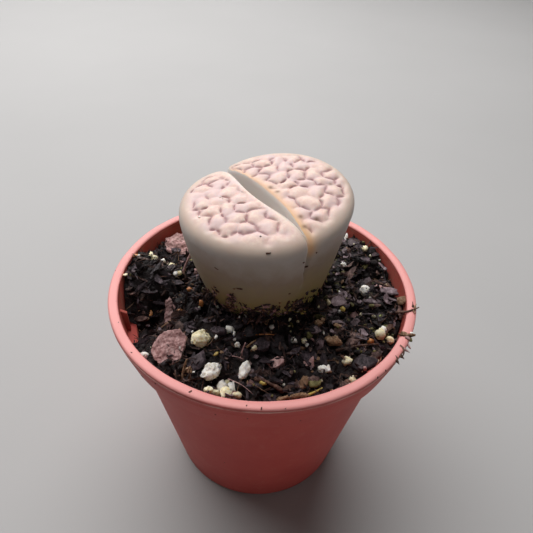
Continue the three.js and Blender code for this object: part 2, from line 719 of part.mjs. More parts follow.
// A grain of perlite or pumice: a rough ball
function grainGeometry([long, wide, thick], random, grow) {
  const detail = long > COARSE_GRAIN ? 1 : 0;
  const grain = mergeVertices(positionsOnly(new THREE.IcosahedronGeometry(1, detail)));
  const position = grain.getAttribute("position");
  for (let i = 0; i < position.count; i += 1) {
    const swell = 0.86 + 0.2 * random();
    const point = new THREE.Vector3().fromBufferAttribute(position, i);
    const direction = point.clone();
    point.multiply(new THREE.Vector3(long / 2, wide / 2, thick / 2)).multiplyScalar(swell);
    point.addScaledVector(direction, grow);
    position.setXYZ(i, point.x, point.y, point.z);
  }
  return grain;
}

function positionsOnly(geometry) {
  geometry.deleteAttribute("normal");
  geometry.deleteAttribute("uv");
  return geometry;
}

// A twig: a thin tapered rod with a slight bend
function twigGeometry({ length, thick }, grow) {
  const sides = 6;
  const rings = [];
  const steps = 3;
  for (let i = 0; i <= steps; i += 1) {
    const along = i / steps;
    const radius = (thick / 2) * (1 - 0.4 * along) + grow;
    const bend = 0.08 * length * Math.sin(Math.PI * along);
    const ring = [];
    for (let step = 0; step < sides; step += 1) {
      const angle = (2 * Math.PI * step) / sides;
      const end = (along - 0.5) * (length + 2 * grow);
      ring.push(new THREE.Vector3(end, radius * Math.cos(angle), bend + radius * Math.sin(angle)));
    }
    rings.push(ring);
  }
  return skin(rings);
}

// Moves a loose piece to its place on the soil, turned and tilted, sunk by part of its thickness
function laidOnSoil(geometry, { at, turn = 0, tilt = 0, sunk = 0.4 }, thick) {
  const [x, y] = at;
  geometry.rotateY(THREE.MathUtils.degToRad(-tilt)).rotateZ(THREE.MathUtils.degToRad(turn));
  return geometry.translate(x, y, soilHeight(x, y) + thick / 2 - sunk);
}

function loosePieces() {
  const pieces = [];
  BARK_CHIPS.forEach((chip, i) => {
    const shape = (grow) => chipGeometry(chip.size, seededRandom(CHIP_SEED + i), grow);
    const build = (grow) => laidOnSoil(shape(grow), chip, chip.size[2]);
    pieces.push({ name: chip.name, colour: chip.colour, build });
  });
  GRAINS.forEach((grain, i) => {
    const place = { ...grain, turn: 40 * i, sunk: 0.4 * grain.size[2] };
    const shape = (grow) => grainGeometry(grain.size, seededRandom(GRAIN_SEED + i), grow);
    const build = (grow) => laidOnSoil(shape(grow), place, grain.size[2]);
    pieces.push({ name: grain.name, colour: grain.colour, build });
  });
  TWIGS.forEach((twig) => {
    const build = (grow) => laidOnSoil(twigGeometry(twig, grow), twig, twig.thick);
    pieces.push({ name: twig.name, colour: twig.colour, build });
  });
  return pieces;
}

function soilGeometry(pieces) {
  let soil = potFilling().intersect(soilTop()).subtract(plantSolid(CLEARANCE));
  for (const piece of pieces) {
    soil = soil.subtract(toSolid(piece.build(CLEARANCE)));
  }
  return toGeometry(largestPiece(soil));
}

// Drops the crumbs that a cut leaves beside the main body
function largestPiece(solid) {
  return solid.decompose().reduce((largest, piece) => (piece.volume() > largest.volume() ? piece : largest));
}

// The whole object

function addMesh(group, name, geometry, colour, roughness) {
  const material = new THREE.MeshStandardMaterial({ color: COLOURS[colour], roughness, metalness: 0 });
  const mesh = new THREE.Mesh(geometry, material);
  mesh.name = name;
  group.add(mesh);
}

function pottedLithops() {
  const group = new THREE.Group();
  const pieces = loosePieces();
  addMesh(group, "pot", potGeometry(), "pot", 0.45);
  addMesh(group, "soil", soilGeometry(pieces), "soil", 0.95);
  addMesh(group, "lithops_body", plantGeometry(), "plant", 0.6);
  for (const piece of pieces) {
    addMesh(group, piece.name, piece.build(0), piece.colour, 0.9);
  }
  return group;
}

export default pottedLithops();
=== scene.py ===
"""A potted lithops: the finish of every surface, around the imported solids.

Shapes are worked out in millimetres and scaled to metres when a mesh is made. +Z is up, -Y is the front,
and the origin is on the pot's axis, on the surface that the pot stands on.
"""
import math
import random
from types import SimpleNamespace

import bpy
import numpy as np
from mathutils import Matrix, Vector, noise
from mathutils.bvhtree import BVHTree


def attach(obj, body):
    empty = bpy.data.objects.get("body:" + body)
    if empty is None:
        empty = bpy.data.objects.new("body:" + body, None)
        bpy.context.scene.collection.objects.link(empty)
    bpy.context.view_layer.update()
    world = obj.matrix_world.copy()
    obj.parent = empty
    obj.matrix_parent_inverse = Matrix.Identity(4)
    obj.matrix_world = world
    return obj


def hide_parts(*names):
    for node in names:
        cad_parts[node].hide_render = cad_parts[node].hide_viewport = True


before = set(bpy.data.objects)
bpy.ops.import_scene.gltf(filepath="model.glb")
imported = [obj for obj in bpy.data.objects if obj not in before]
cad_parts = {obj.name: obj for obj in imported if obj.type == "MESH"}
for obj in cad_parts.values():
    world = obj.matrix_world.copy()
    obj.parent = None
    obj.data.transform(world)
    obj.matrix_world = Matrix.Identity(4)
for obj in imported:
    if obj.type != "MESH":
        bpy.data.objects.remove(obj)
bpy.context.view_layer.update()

MM = 0.001
BODY = "root"

# Camera, fitted to the photograph's view of the rim, the body's edges and the foot
PHOTO_SIZE = 533
CAMERA_PLACE = Vector((0, -72.79, 108.38))
CAMERA_YAW = 0.0065
CAMERA_PITCH = 0.6956
CAMERA_ROLL = 0.0448
CAMERA_LENS = 36.07
CAMERA_SENSOR = 36.0

# Driving dimensions of the pot
POT_SIDES = 240
POT_HEIGHT = 44
RIM_RADIUS = 27.5
BEAD_WIDTH = 1.7
BEAD_HEIGHT = 0.8
BASE_RADIUS = 17.6
WALL = 0.85
STEP_BOTTOM = 36
STEP_TOP = 37
COLLAR_BOTTOM_RADIUS = 25.9
BODY_TOP_RADIUS = 24.24
FOOT_INNER_RADIUS = 11.5
PANEL_LIFT = 1.0
FLOOR = 0.9
DRAIN_RADIUS = 2.2
DRAIN_CIRCLE = 8.2
DRAIN_COUNT = 5
RIB_COUNT = 3
# Where the first rib stands, as a share of the way round to the next one
RIB_FIRST = 0.625
RIB_THICKNESS = 0.6
RIB_HEIGHT = 5.2
RIB_DEPTH = 1.1
RIB_TOP_DEPTH = 0.9
RIB_TOP_SLOPE = 1.1
BEAD_SQUARENESS = 2.7
BEAD_STEPS = 18
CORNER_STEPS = 4
DRAIN_SIDES = 32
# The angle in degrees past which an edge is shaded sharp, and how far the rim sags in places
SHARP_ANGLE = 38
RIM_SAG = 0.25
RIM_SAG_FREQUENCY = 0.09

# Driving dimensions of the soil
SOIL_LEVEL = 39.5
SOIL_SIDES = 330
SOIL_RINGS = 68
SOIL_CORE = 3.0
SOIL_GAP = 0.1
HOLLOW = SimpleNamespace(x=-22.2, y=-5.6, depth=5, reach=5.4)
MOUND = SimpleNamespace(x=-1, y=-2.5, height=4.4, reach=12)
# Where the soil is banked up against the wall: the angle and its spread in degrees, and the height
BANKS = ((175, 16, 4.4), (152, 14, 0.9), (32, 16, 2.9), (-3, 12, 1.9))
BANK_FOOT = 14
BANK_TOP = 25
# The fine surface: lumps as (height, frequency, level in the noise, octaves), and small pits
LUMPS = ((0.8, 0.55, 0, 4), (0.35, 1.7, 7, 3))
PIT_DEPTH = 1.8
PIT_FREQUENCY = 0.26
PIT_LEVEL = 21

# Driving dimensions of the plant
FISSURE_CENTRE = Vector((-0.2, 1.8))
FISSURE_ANGLE = math.radians(-55.3)
FISSURE_DEPTH_LEVEL = 50.5
FISSURE_END_RISE = 4
FISSURE_END_GAP = 0.08
FISSURE_GAP = 0.95
MERGE_SLOPE = 0.55
NECK_RADIUS = 10.4
NECK_ALONG = -1.8
NECK_ACROSS = 1.6
NECK_ROUNDNESS = 2.2
MERGED_LEVEL = 45
LEAF_FOOT = 37.5
HEAL_FROM = 47.5
HEAL_TO = 51.5
HEAL_ROUNDS = 120
ROOT_JOIN = 39.5
TAPROOT_TIP = 15
ROOT_SIDES = 48
LEAF_SIDES = 320
LEAF_RINGS = 40
CAP_RINGS = 100
LEFT_LEAF = SimpleNamespace(
    side=-1, half_length=14, depth=14.1, widest=2.6, shift=-0.3, shoulder=58.2, dome=3.5,
    neck_depth=8.8, straightness=0.52, bow=2.0, outer_roundness=1.9, inner_roundness=4.3,
    front_roundness=4.3, outer_dome_roundness=2.85, inner_dome_roundness=7,
    tilt_along=0.05, tilt_across=-0.06, seed=11,
)
RIGHT_LEAF = SimpleNamespace(
    side=1, half_length=13.8, depth=16.3, widest=2.8, shift=-1.7, shoulder=57.5, dome=3.3,
    neck_depth=12.4, straightness=0.88, bow=1.4, outer_roundness=2.05, inner_roundness=3.3,
    front_roundness=6.5, outer_dome_roundness=2.8, inner_dome_roundness=5,
    tilt_along=0, tilt_across=0.17, seed=29,
)

# Net of short grooves between the raised window patches
NET_SPACING = 3.05
NET_JITTER = 0.27
NET_KEEP = 0.66
NET_TRIM = 0.3
NET_REACH = 0.87
NET_REACH_INSIDE = 0.9
NET_STEPS = 6
NET_WAVER = 0.26
GROOVE_WIDTH = 0.55
GROOVE_DEPTH = 0.16
PILLOW_HEIGHT = 0.37
PILLOW_REACH = 1.5
FAINT_CREASE = 0.75

# Where the skin's colours and its pillows begin and end. Reach is 1 at the shoulder, and inward, along and
# level are millimetres from the fissure, along it, and above the surface that the pot stands on
PILLOW_REACHES = (0.87, 0.98)
PILLOW_INWARD = (0.4, 1.7)
WINDOW_REACHES = (0.78, 0.95)
NEAR_END_ALONG = (9.5, 12)
FACE_LEVELS = (49, 52)
# Levels and width of the painted dark line of shade in the crease at the fissure's front end
SEAM_LEVELS = (50.5, 53)
SEAM_WIDTH = 0.28
AMBER_WIDTH = 1.3
AMBER_STRENGTH = 0.8
# Width and far end of the painted highlight along the left leaf's edge at the fissure
BRINK_WIDTH = 0.4
BRINK_END_ALONG = (11, 13)

# The seeds of the bits and of the litter, how far out litter lies, and how far from the wall and the plant
BITS_SEED = 5
LITTER_SEED = 7
LITTER_RADIUS = 25
LITTER_MARGIN = 0.4
# How steeply litter may stand, in radians, and the stretch from the right and the back to the front and the
# left over which kinds that lean grow scarce
LITTER_STEEPEST = 1.4
LEAN_STRETCH = (-12, 14)
# The range of tints of what is laid by its pixel in the photograph
BIT_TINTS = (0.4, 0.9)

# Dirt at the plant's foot: how many clumps, how many bits in one, and how far a clump climbs
FOOT_CLUMPS = 52
CLUMP_BITS = (5, 22)
CLIMB_LEAST = 0.6
CLIMB_MORE = 1.9
CLIMB_MOST = 5.4
# The level of the plant's outline along which the soil beside it is measured, how deep dirt sinks, how far
# from the plant it may lie below the low climb, and how much smaller it is past the high climb
DIRT_LEVEL = 42.5
DIRT_SINK = 0.3
LOW_CLIMB = 1.0
LOW_SPILL = 1.6
HIGH_CLIMB = 2
HIGH_SHRINK = 0.6
# Surface, shape, smallest and largest size
FOOT_KINDS = (
    ("soil", "crumb", 0.4, 1.4), ("bark_dark", "flake", 0.6, 2.2), ("bark", "shred", 0.8, 3.0),
    ("bark_dark", "shred", 1.0, 3.4), ("bark_mauve", "flake", 0.4, 1.5), ("twig", "shred", 1.0, 3.6),
    ("bark_tan", "shred", 0.6, 2.2), ("bark_pink", "shred", 0.6, 1.8),
)

# How far a bit is raised off the soil where its own line doesn't say
DEFAULT_LIFT = 0.6

# Loose pieces by the kind of their surface
CHIPS = {
    "bark_pink": (
        "bark_chip_big_left", "bark_chip_back_left", "bark_chip_front", "bark_chip_right",
        "bark_stick_standing",
    ),
    "bark_dark": ("bark_chip_by_pebble", "bark_chip_heart", "bark_chip_back_right"),
    "bark_tan": ("bark_chip_near_plant", "bark_chip_orange", "bark_chip_standing"),
    "bark": (
        "bark_chip_right_inner", "bark_chip_right_outer", "bark_chip_front_long",
        "bark_chip_right_small", "bark_chip_back",
    ),
}
GRAINS = {
    "perlite": (
        "perlite_front_left", "perlite_oval", "perlite_front_right", "perlite_right",
        "perlite_back_right", "perlite_side_right", "perlite_centre", "perlite_centre_left",
        "perlite_left_wall",
    ),
    "pumice": (
        "pumice_by_chip", "perlite_rim_big", "perlite_rim_small", "pumice_right_a", "pumice_right_b",
        "pumice_back_left_a", "pumice_back_left_b", "pumice_back_left_c",
    ),
}
GRANULES = {name: (name,) for name in ("granule_green", "granule_yellow", "granule_orange")}
TWIGS = {
    "twig": ("twig_by_plant", "twig_front_left", "twig_right", "twig_back"),
    "bark_tan": ("twig_front",),
}
# How each group is made finer: the remesh's voxel, round cells as (cells per millimetre, height), and
# layers of noise as (frequency, height, octaves)
FINISHES = (
    SimpleNamespace(pieces=CHIPS, voxel=0.13, foam=None, noise=((0.7, 0.3, 4), (2.6, 0.12, 3))),
    SimpleNamespace(pieces=GRAINS, voxel=0.1, foam=(1.3, 0.16), noise=((0.9, 0.34, 2), (2.4, 0.1, 3))),
    SimpleNamespace(pieces=GRANULES, voxel=0.09, foam=None, noise=((1.5, 0.08, 3),)),
    SimpleNamespace(pieces=TWIGS, voxel=0.09, foam=None, noise=((0.6, 0.3, 2), (3.0, 0.08, 3))),
)
# How far apart the pieces lie in the noise, so that no two are alike
NOISE_STEP = 17.3
# Pieces that are darker than the rest of their kind
SHADED = ("bark_stick_standing",)
SHADED_TINT = 0.3
# The record's slot of each surface that isn't a slot by itself
SLOTS = {"bark_mauve": "bark", "bark_olive": "bark", **{name: "granule" for name in GRANULES}}

# Screen colours of the surfaces: dark, middle and light
BARKS = {
    "bark": ((28, 19, 19), (80, 58, 54), (160, 128, 118)),
    "bark_pink": ((118, 84, 82), (178, 138, 136), (216, 186, 182)),
    "bark_mauve": ((60, 48, 52), (122, 104, 110), (184, 164, 170)),
    "bark_olive": ((44, 40, 24), (104, 98, 56), (172, 162, 110)),
    "bark_dark": ((16, 12, 15), (54, 44, 50), (118, 100, 108)),
    "bark_tan": ((66, 44, 34), (142, 108, 80), (206, 178, 150)),
    "twig": ((32, 20, 18), (84, 56, 46), (140, 108, 90)),
}
MINERALS = {
    "perlite": ((232, 222, 200), (255, 251, 242), (255, 255, 252)),
    "pumice": ((232, 206, 140), (255, 242, 198), (255, 252, 236)),
}
# Dark and light
GRANULE_COLOURS = {
    "granule_green": ((96, 108, 40), (150, 160, 76)),
    "granule_yellow": ((168, 140, 60), (216, 194, 104)),
    "granule_orange": ((160, 92, 44), (214, 146, 84)),
}

# Light: place in metres, width and power of each soft lamp, and the sky's even light
LAMPS = {
    "overhead": ((-0.11, 0.26, 0.42), 0.75, 4.7),
    "front_fill": ((0.3, -0.5, 0.16), 0.4, 0.3),
}
LAMP_COLOUR = (1.0, 0.98, 0.97)
LAMP_TARGET = (0, 0, 0.045)
SKY_COLOUR = (1.0, 0.98, 0.94, 1.0)
SKY_STRENGTH = 0.06
FLOOR_HALF = 1500


def bit(pixel, shape, kind, size, turn=0, tilt=0, lift=DEFAULT_LIFT):
    """A small thing seen in the photograph: its pixel there, its shape, surface and size in millimetres,
    the way its long side points in plan and how steeply that side rises, both in degrees, and how far it is
    raised off the soil or the rim, in millimetres."""
    return SimpleNamespace(
        pixel=pixel, shape=shape, kind=kind, size=size, lift=lift,
        turn=math.radians(turn), tilt=math.radians(tilt),
    )


SOIL_BITS = {
    "pale_flake_by_plant": bit((314, 318), "flake", "bark_tan", (2.6, 1.3, 0.5), 40, 20),
    "leaf_scrap": bit((299, 314), "flake", "granule_yellow", (2.9, 1.0, 0.3), -15, 8),
    "olive_stem": bit((290, 326), "rod", "bark_olive", (3.2, 0.34), -65, 10),
    "olive_plate": bit((308, 337), "flake", "bark_olive", (2.0, 1.8, 0.4), 20, 20),
    "orange_fibre": bit((255, 337), "rod", "granule_orange", (6.4, 0.17), 8, 3),
    "brown_fibre": bit((254, 343), "rod", "bark_tan", (3.6, 0.2), 50, 5, 0.5),
    "pink_white_scrap": bit((245, 318), "flake", "perlite", (1.6, 0.9, 0.4), 70, 40, 0.5),
    "white_dot_by_plant": bit((239, 319), "crumb", "perlite", (0.6,)),
    "white_knob_left": bit((229, 331), "crumb", "perlite", (1.2,), lift=0.5),
    "white_knob_right": bit((234, 335), "crumb", "perlite", (1.0,), lift=0.4),
    "pale_crumb_by_heart": bit((254, 350), "crumb", "pumice", (0.9,)),
    "stick_by_oval": bit((242, 357), "rod", "bark_pink", (3.8, 0.2), 80, 60, 1.4),
    "pale_root_left": bit((237, 360), "rod", "bark_pink", (2.3, 0.09), -20, 5, 0.8),
    "pale_root_front": bit((240, 388), "rod", "bark_pink", (5.0, 0.08), -28, 4, 0.8),
    "rim_crumb_a": bit((216, 396), "crumb", "pumice", (1.9,)),
    "rim_crumb_b": bit((222, 390), "crumb", "perlite", (2.0,), lift=0.7),
    "rim_crumb_c": bit((231, 391), "crumb", "perlite", (2.1,), lift=0.7),
    "rim_crumb_d": bit((237, 397), "crumb", "pumice", (1.8,)),
    "greenish_crumb": bit((227, 384), "crumb", "pumice", (1.3,), lift=0.5),
    "olive_crumb": bit((263, 385), "crumb", "granule_yellow", (1.1,)),
    "cream_scrap_front": bit((277, 400), "flake", "pumice", (2.0, 0.9, 0.4), 5, 5, 0.5),
    "yellow_stem": bit((311, 395), "rod", "granule_yellow", (4.0, 0.3), 28, 5),
    "brown_leaf": bit((303, 386), "flake", "bark_tan", (3.6, 1.8, 0.3), 60, 35, 0.9),
    "olive_plate_front": bit((314, 385), "flake", "bark_olive", (2.8, 2.2, 0.4), 10, 10),
    "brown_shred": bit((310, 366), "flake", "bark_pink", (3.0, 1.4, 0.3), 70, 45, 0.9),
    "tan_chunk": bit((298, 349), "flake", "bark_tan", (3.4, 1.1, 0.5), -14, 6, 0.4),
    "tan_chunk_tip": bit((306, 348), "crumb", "perlite", (0.8,), lift=0.9),
    "orange_lump": bit((201, 305), "crumb", "granule_orange", (1.5,), lift=0.5),
    "pink_lump": bit((196, 274), "crumb", "bark_pink", (1.4,), lift=0.5),
    "stick_by_plant": bit((188, 268), "rod", "bark_pink", (6.0, 0.3), 75, 50, 1.9),
    "grey_scrap": bit((179, 264), "flake", "bark_pink", (2.2, 1.4, 0.4), 10, 15, 0.5),
    "green_white_crumb": bit((151, 257), "crumb", "pumice", (1.5,), lift=0.5),
    "green_white_dot": bit((163, 262), "crumb", "perlite", (1.0,), lift=0.5),
    "white_crumb_back": bit((175, 275), "crumb", "perlite", (1.1,), lift=0.5),
    "orange_scrap": bit((150, 315), "flake", "granule_orange", (1.9, 1.2, 0.4), 60, 25, 0.5),
    "yellow_scrap": bit((147, 321), "flake", "bark_tan", (1.3, 0.9, 0.4), 20, 10),
    "tan_root": bit((175, 321), "rod", "bark_tan", (6.2, 0.15), 48, 6, 0.9),
    "orange_flake_on_root": bit((179, 314), "flake", "granule_orange", (1.6, 0.7, 0.3), 20, 10, 1.0),
    "white_dot_a": bit((180, 350), "crumb", "perlite", (0.7,)),
    "white_dot_b": bit((216, 339), "crumb", "perlite", (0.8,)),
    "white_dot_c": bit((217, 309), "crumb", "perlite", (0.6,)),
    "cream_dot": bit((203, 292), "crumb", "pumice", (1.0,)),
    "white_dot_d": bit((192, 334), "crumb", "perlite", (0.6,)),
    "cream_crumb_by_pebble": bit((197, 346), "crumb", "pumice", (1.2,)),
    "lime_scrap": bit((216, 356), "flake", "granule_yellow", (1.3, 0.8, 0.3), 40, 20),
    "lime_dot": bit((191, 361), "crumb", "granule_yellow", (0.9,)),
    "olive_scrap_left": bit((125, 276), "flake", "pumice", (2.2, 1.0, 0.3), -60, 30, 0.5),
    "orange_scrap_back": bit((135, 257), "flake", "granule_orange", (1.9, 1.0, 0.4), 10, 10, 0.5),
    "dark_plate_left": bit((198, 364), "flake", "bark_dark", (4.6, 3.8, 0.6), 60, 16, 0.7),
    "cream_oval_right": bit((364, 250), "crumb", "pumice", (1.4,), lift=0.5),
    "grey_plate_right": bit((373, 303), "flake", "bark_mauve", (3.8, 1.8, 0.5), -14, 6),
    "mauve_plate_right": bit((386, 294), "flake", "bark_mauve", (5.8, 2.4, 0.6), -12, 6, 0.8),
    "mauve_splinter": bit((392, 303), "flake", "bark_mauve", (3.2, 0.8, 0.3), -36, 8, 0.8),
    "cream_knob_right": bit((379, 335), "crumb", "pumice", (2.0,), lift=0.5),
    "white_knob_far_right": bit((382, 333), "crumb", "perlite", (1.4,), lift=0.7),
    "tan_stem_front_left": bit((184, 373), "rod", "bark_tan", (3.6, 0.34), 84, 55, 1.0),
    "tan_stem_front_left_low": bit((189, 379), "rod", "bark_tan", (2.6, 0.26), 92, 55, 0.8),
    "brown_lump_right": bit((354, 317), "crumb", "bark_pink", (1.9,), lift=0.4),
    "red_scrap_right": bit((337, 327), "flake", "bark_tan", (2.0, 1.2, 0.4), -40, 15, 0.4),
    "twig_right_long": bit((356, 349), "rod", "twig", (7.4, 0.3), 16, 4, 0.7),
    "twig_right_end": bit((369, 345), "crumb", "granule_orange", (1.0,), lift=1.0),
    "big_dark_bark": bit((364, 366), "flake", "bark_dark", (5.4, 4.2, 0.9), 25, 12, 0.4),
    "pink_dot_right": bit((363, 372), "crumb", "bark_pink", (0.8,), lift=1.0),
    "cream_dot_right": bit((370, 372), "crumb", "pumice", (0.9,)),
    "rim_crumb_right_a": bit((351, 383), "crumb", "pumice", (1.3,)),
    "rim_crumb_right_b": bit((348, 386), "crumb", "perlite", (0.9,), lift=0.5),
    "rim_crumb_right_c": bit((377, 359), "crumb", "pumice", (1.5,)),
    "rim_crumb_right_d": bit((375, 364), "crumb", "pumice", (1.2,), lift=0.5),
    "curled_leaf": bit((401, 303), "flake", "bark_tan", (2.8, 2.2, 0.6), 30, 20, 0.9),
    "white_splinter": bit((345, 241), "flake", "perlite", (2.4, 0.9, 0.4), 75, 45, 0.9),
    "tan_scrap_back": bit((325, 263), "flake", "bark_tan", (1.8, 1.2, 0.4), 15, 10),
    "tan_flake_right": bit((374, 282), "flake", "bark_tan", (2.4, 1.3, 0.4), 20, 10, 0.5),
}
SKIN_SPECKS = {
    "dash_on_front": bit((268, 253), "flake", "twig", (1.1, 0.4, 0.16), 5),
    "dash_left": bit((216, 268), "flake", "twig", (1.2, 0.25, 0.1), -12),
    "speck_at_seam": bit((306, 266), "flake", "twig", (0.8, 0.45, 0.2), 20),
    "speck_right": bit((316, 252), "flake", "twig", (0.5, 0.35, 0.12)),
    "speck_by_seam": bit((303, 262), "flake", "twig", (0.4, 0.3, 0.12)),
    "speck_low": bit((289, 293), "flake", "twig", (0.6, 0.35, 0.14)),
    "scrap_low_left": bit((239, 288), "flake", "twig", (1.5, 0.5, 0.2), 15),
    "scrap_low_left_end": bit((234, 288), "flake", "bark_tan", (0.7, 0.4, 0.2), 40),
    "speck_left_foot": bit((213, 289), "flake", "twig", (1.2, 0.3, 0.16), -60),
    "glint_a": bit((220, 197), "crumb", "perlite", (0.3,)),
    "glint_b": bit((199, 217), "crumb", "perlite", (0.34,)),
    "glint_c": bit((222, 198), "crumb", "perlite", (0.24,)),
    "dot_on_pillow": bit((260, 236), "flake", "twig", (0.35, 0.3, 0.1)),
    "foot_splinter": bit((262, 305), "rod", "bark_dark", (3.2, 0.22), 45),
}
# Brown spots in the grooves of the right leaf, and how far each spreads
SKIN_SPOTS = ((316, 219), (304, 226), (300, 216), (270, 187), (277, 191), (330, 184))
SPOT_RADIUS = 0.42
POT_SPECKS = {
    "speck_collar_left": bit((142, 376), "flake", "twig", (0.88, 0.22, 0.11), -60),
    "speck_bead_left": bit((155, 383), "flake", "bark", (0.4, 0.22, 0.09), 20),
    "speck_bead_front": bit((215, 414), "flake", "twig", (0.35, 0.18, 0.09), 10),
    "speck_bead_middle": bit((246, 405), "flake", "twig", (0.4, 0.22, 0.09), 70),
    "speck_bead_middle_right": bit((261, 408), "flake", "twig", (0.53, 0.26, 0.14), 80),
    "speck_collar_front": bit((247, 418), "flake", "bark", (0.26, 0.18, 0.09)),
    "speck_bead_right": bit((285, 408), "flake", "twig", (0.4, 0.18, 0.09), 30),
    "speck_collar_right": bit((300, 420), "flake", "bark", (0.31, 0.18, 0.09)),
    "speck_body": bit((224, 462), "flake", "bark", (0.26, 0.18, 0.07)),
    "speck_rim_right_a": bit((377, 377), "flake", "twig", (0.49, 0.22, 0.14), 50),
    "speck_rim_right_b": bit((385, 370), "flake", "twig", (0.4, 0.18, 0.14), 30),
    "speck_rim_left_a": bit((115, 270), "flake", "bark", (0.26, 0.14, 0.09)),
    "speck_rim_left_b": bit((118, 322), "flake", "bark", (0.31, 0.18, 0.09)),
    "speck_rim_left_c": bit((131, 352), "flake", "bark", (0.35, 0.18, 0.09), 40),
    "speck_rim_left_d": bit((190, 391), "flake", "twig", (0.7, 0.26, 0.14), -20),
}
# Root shreds and bark splinters that hang over the rim at the right
RIM_SHREDS = {
    "twig_across": bit((407, 311), "rod", "twig", (4.4, 0.28), 4, 2, 0.2),
    "twig_across_scrap": bit((404, 313), "flake", "bark", (2.6, 0.9, 0.5), -10, 0, 0.15),
    "twig_across_end": bit((413, 309), "shred", "bark_tan", (2.2, 0.7, 0.3), 30, 0, 0.1),
    "twig_across_fray": bit((412, 306), "shred", "twig", (1.6, 0.4, 0.2), 70, 14, 0.1),
    "twig_across_fray_low": bit((413, 311), "shred", "bark_tan", (1.4, 0.5, 0.2), -40, -8, 0.1),
    "orange_twig": bit((406, 335), "shred", "bark_tan", (2.8, 0.7, 0.4), -24, 2, 0.15),
    "orange_scrap_a": bit((403, 333), "flake", "bark_tan", (1.5, 0.7, 0.4), -20, 0, 0.1),
    "orange_scrap_b": bit((409, 339), "flake", "bark_olive", (1.4, 0.8, 0.4), -60, 0, 0.1),
    "pale_scrap": bit((407, 338), "flake", "bark_pink", (1.2, 0.7, 0.3), -40, 0, 0.1),
    "rim_white_scrap": bit((411, 333), "flake", "perlite", (0.8, 0.5, 0.3), lift=0.1),
    "rim_end_scrap": bit((407, 344), "shred", "bark_pink", (1.7, 0.5, 0.3), -50, -10, 0.0),
    "torn_edge": bit((402, 350), "shred", "twig", (2.2, 0.5, 0.3), -56, -10, 0.0),
    "torn_edge_low": bit((396, 358), "shred", "twig", (1.6, 0.4, 0.3), -52, -10, 0.0),
    "tooth_a": bit((404, 349), "spike", "bark_pink", (1.2, 0.36), -20, -14, 0.0),
    "tooth_b": bit((400, 355), "spike", "twig", (1.0, 0.4), -34, -20, 0.0),
    "tooth_c": bit((396, 360), "spike", "twig", (0.9, 0.34), -50, -20, 0.0),
}
# Patches of dirt on the plant's foot: their pixel, how far they spread across and up in pixels, and a count
FOOT_PATCHES = (
    ((231, 298), 2.4, 2.4, 44), ((230, 308), 2.4, 3.4, 56), ((221, 309), 3.4, 3.0, 60),
    ((215, 291), 1.1, 3.2, 14), ((248, 309), 3.0, 2.0, 14), ((264, 308), 3.4, 1.8, 16),
    ((275, 308), 4.2, 2.2, 32), ((296, 305), 4.6, 3.0, 80), ((285, 312), 8.0, 1.2, 26),
)
# The surfaces of their bits, the common ones more than once
PATCH_KINDS = ("twig", "twig", "bark_dark", "bark", "bark", "bark_pink", "bark_tan")


# Numbers

def lerp(a, b, t):
    return a + (b - a) * t


def smoothstep(x, low, high):
    t = np.clip((x - low) / (high - low), 0, 1)
    return t * t * (3 - 2 * t)


def signed_power(x, power):
    return np.sign(x) * np.abs(x) ** power


def seeded_random(seed):
    """The same sequence that the part's net of grooves is drawn with."""
    state = seed
    while True:
        state = (state * 1664525 + 1013904223) % 4294967296
        yield state / 4294967296


def rough(point, frequency, octaves, offset=0.0):
    """Fractal noise about 0 at a place in millimetres."""
    place = Vector((point[0] * frequency + offset, point[1] * frequency, point[2] * frequency))
    return noise.fractal(place, 1.0, 2.0, octaves, noise_basis="PERLIN_ORIGINAL")


# Places seen in the photograph

def camera_axes():
    """The camera's right, top and forward directions."""
    forward = Vector((
        math.sin(CAMERA_YAW) * math.cos(CAMERA_PITCH),
        math.cos(CAMERA_YAW) * math.cos(CAMERA_PITCH),
        -math.sin(CAMERA_PITCH),
    ))
    level = Vector((math.cos(CAMERA_YAW), -math.sin(CAMERA_YAW), 0))
    up = level.cross(forward)
    right = math.cos(CAMERA_ROLL) * level + math.sin(CAMERA_ROLL) * up
    top = math.cos(CAMERA_ROLL) * up - math.sin(CAMERA_ROLL) * level
    return right, top, forward


def face_tree(mesh, scale=1.0):
    """A mesh as a tree of faces, for finding what a ray meets. The scale turns its unit into millimetres."""
    points = [vertex.co * scale for vertex in mesh.vertices]
    return BVHTree.FromPolygons(points, [tuple(polygon.vertices) for polygon in mesh.polygons])


def seen_at(tree, pixel):
    """Where the camera's ray through a pixel of the photograph meets a piece, and the normal there."""
    right, top, forward = camera_axes()
    pixel_size = CAMERA_SENSOR / CAMERA_LENS / PHOTO_SIZE
    across = (pixel[0] + 0.5 - PHOTO_SIZE / 2) * pixel_size
    down = (pixel[1] + 0.5 - PHOTO_SIZE / 2) * pixel_size
    place, normal, _, _ = tree.ray_cast(CAMERA_PLACE, (forward + right * across - top * down).normalized())
    return place, normal


# Meshes

def mesh_from(name, points, faces):
    """A mesh in millimetres."""
    mesh = bpy.data.meshes.new(name)
    mesh.from_pydata([tuple(p) for p in points], [], faces)
    mesh.update()
    return mesh


def temporary(mesh):
    made = bpy.data.objects.new(mesh.name, mesh)
    bpy.context.scene.collection.objects.link(made)
    return made


def with_modifier(mesh, kind, **settings):
    """The mesh after one modifier, as a new mesh."""
    holder = temporary(mesh)
    modifier = holder.modifiers.new(kind.lower(), kind)
    for name, value in settings.items():
        setattr(modifier, name, value)
    graph = bpy.context.evaluated_depsgraph_get()
    made = bpy.data.meshes.new_from_object(holder.evaluated_get(graph))
    bpy.data.objects.remove(holder)
    return made


def joined(mesh, other, operation="UNION"):
    tool = temporary(other)
    made = with_modifier(mesh, "BOOLEAN", operation=operation, object=tool, solver="MANIFOLD")
    bpy.data.objects.remove(tool)
    return made


def vectors(items, name):
    """One vector of each vertex or normal, as rows."""
    values = np.zeros(len(items) * 3, np.float32)
    items.foreach_get(name, values)
    return values.reshape(-1, 3).astype(float)


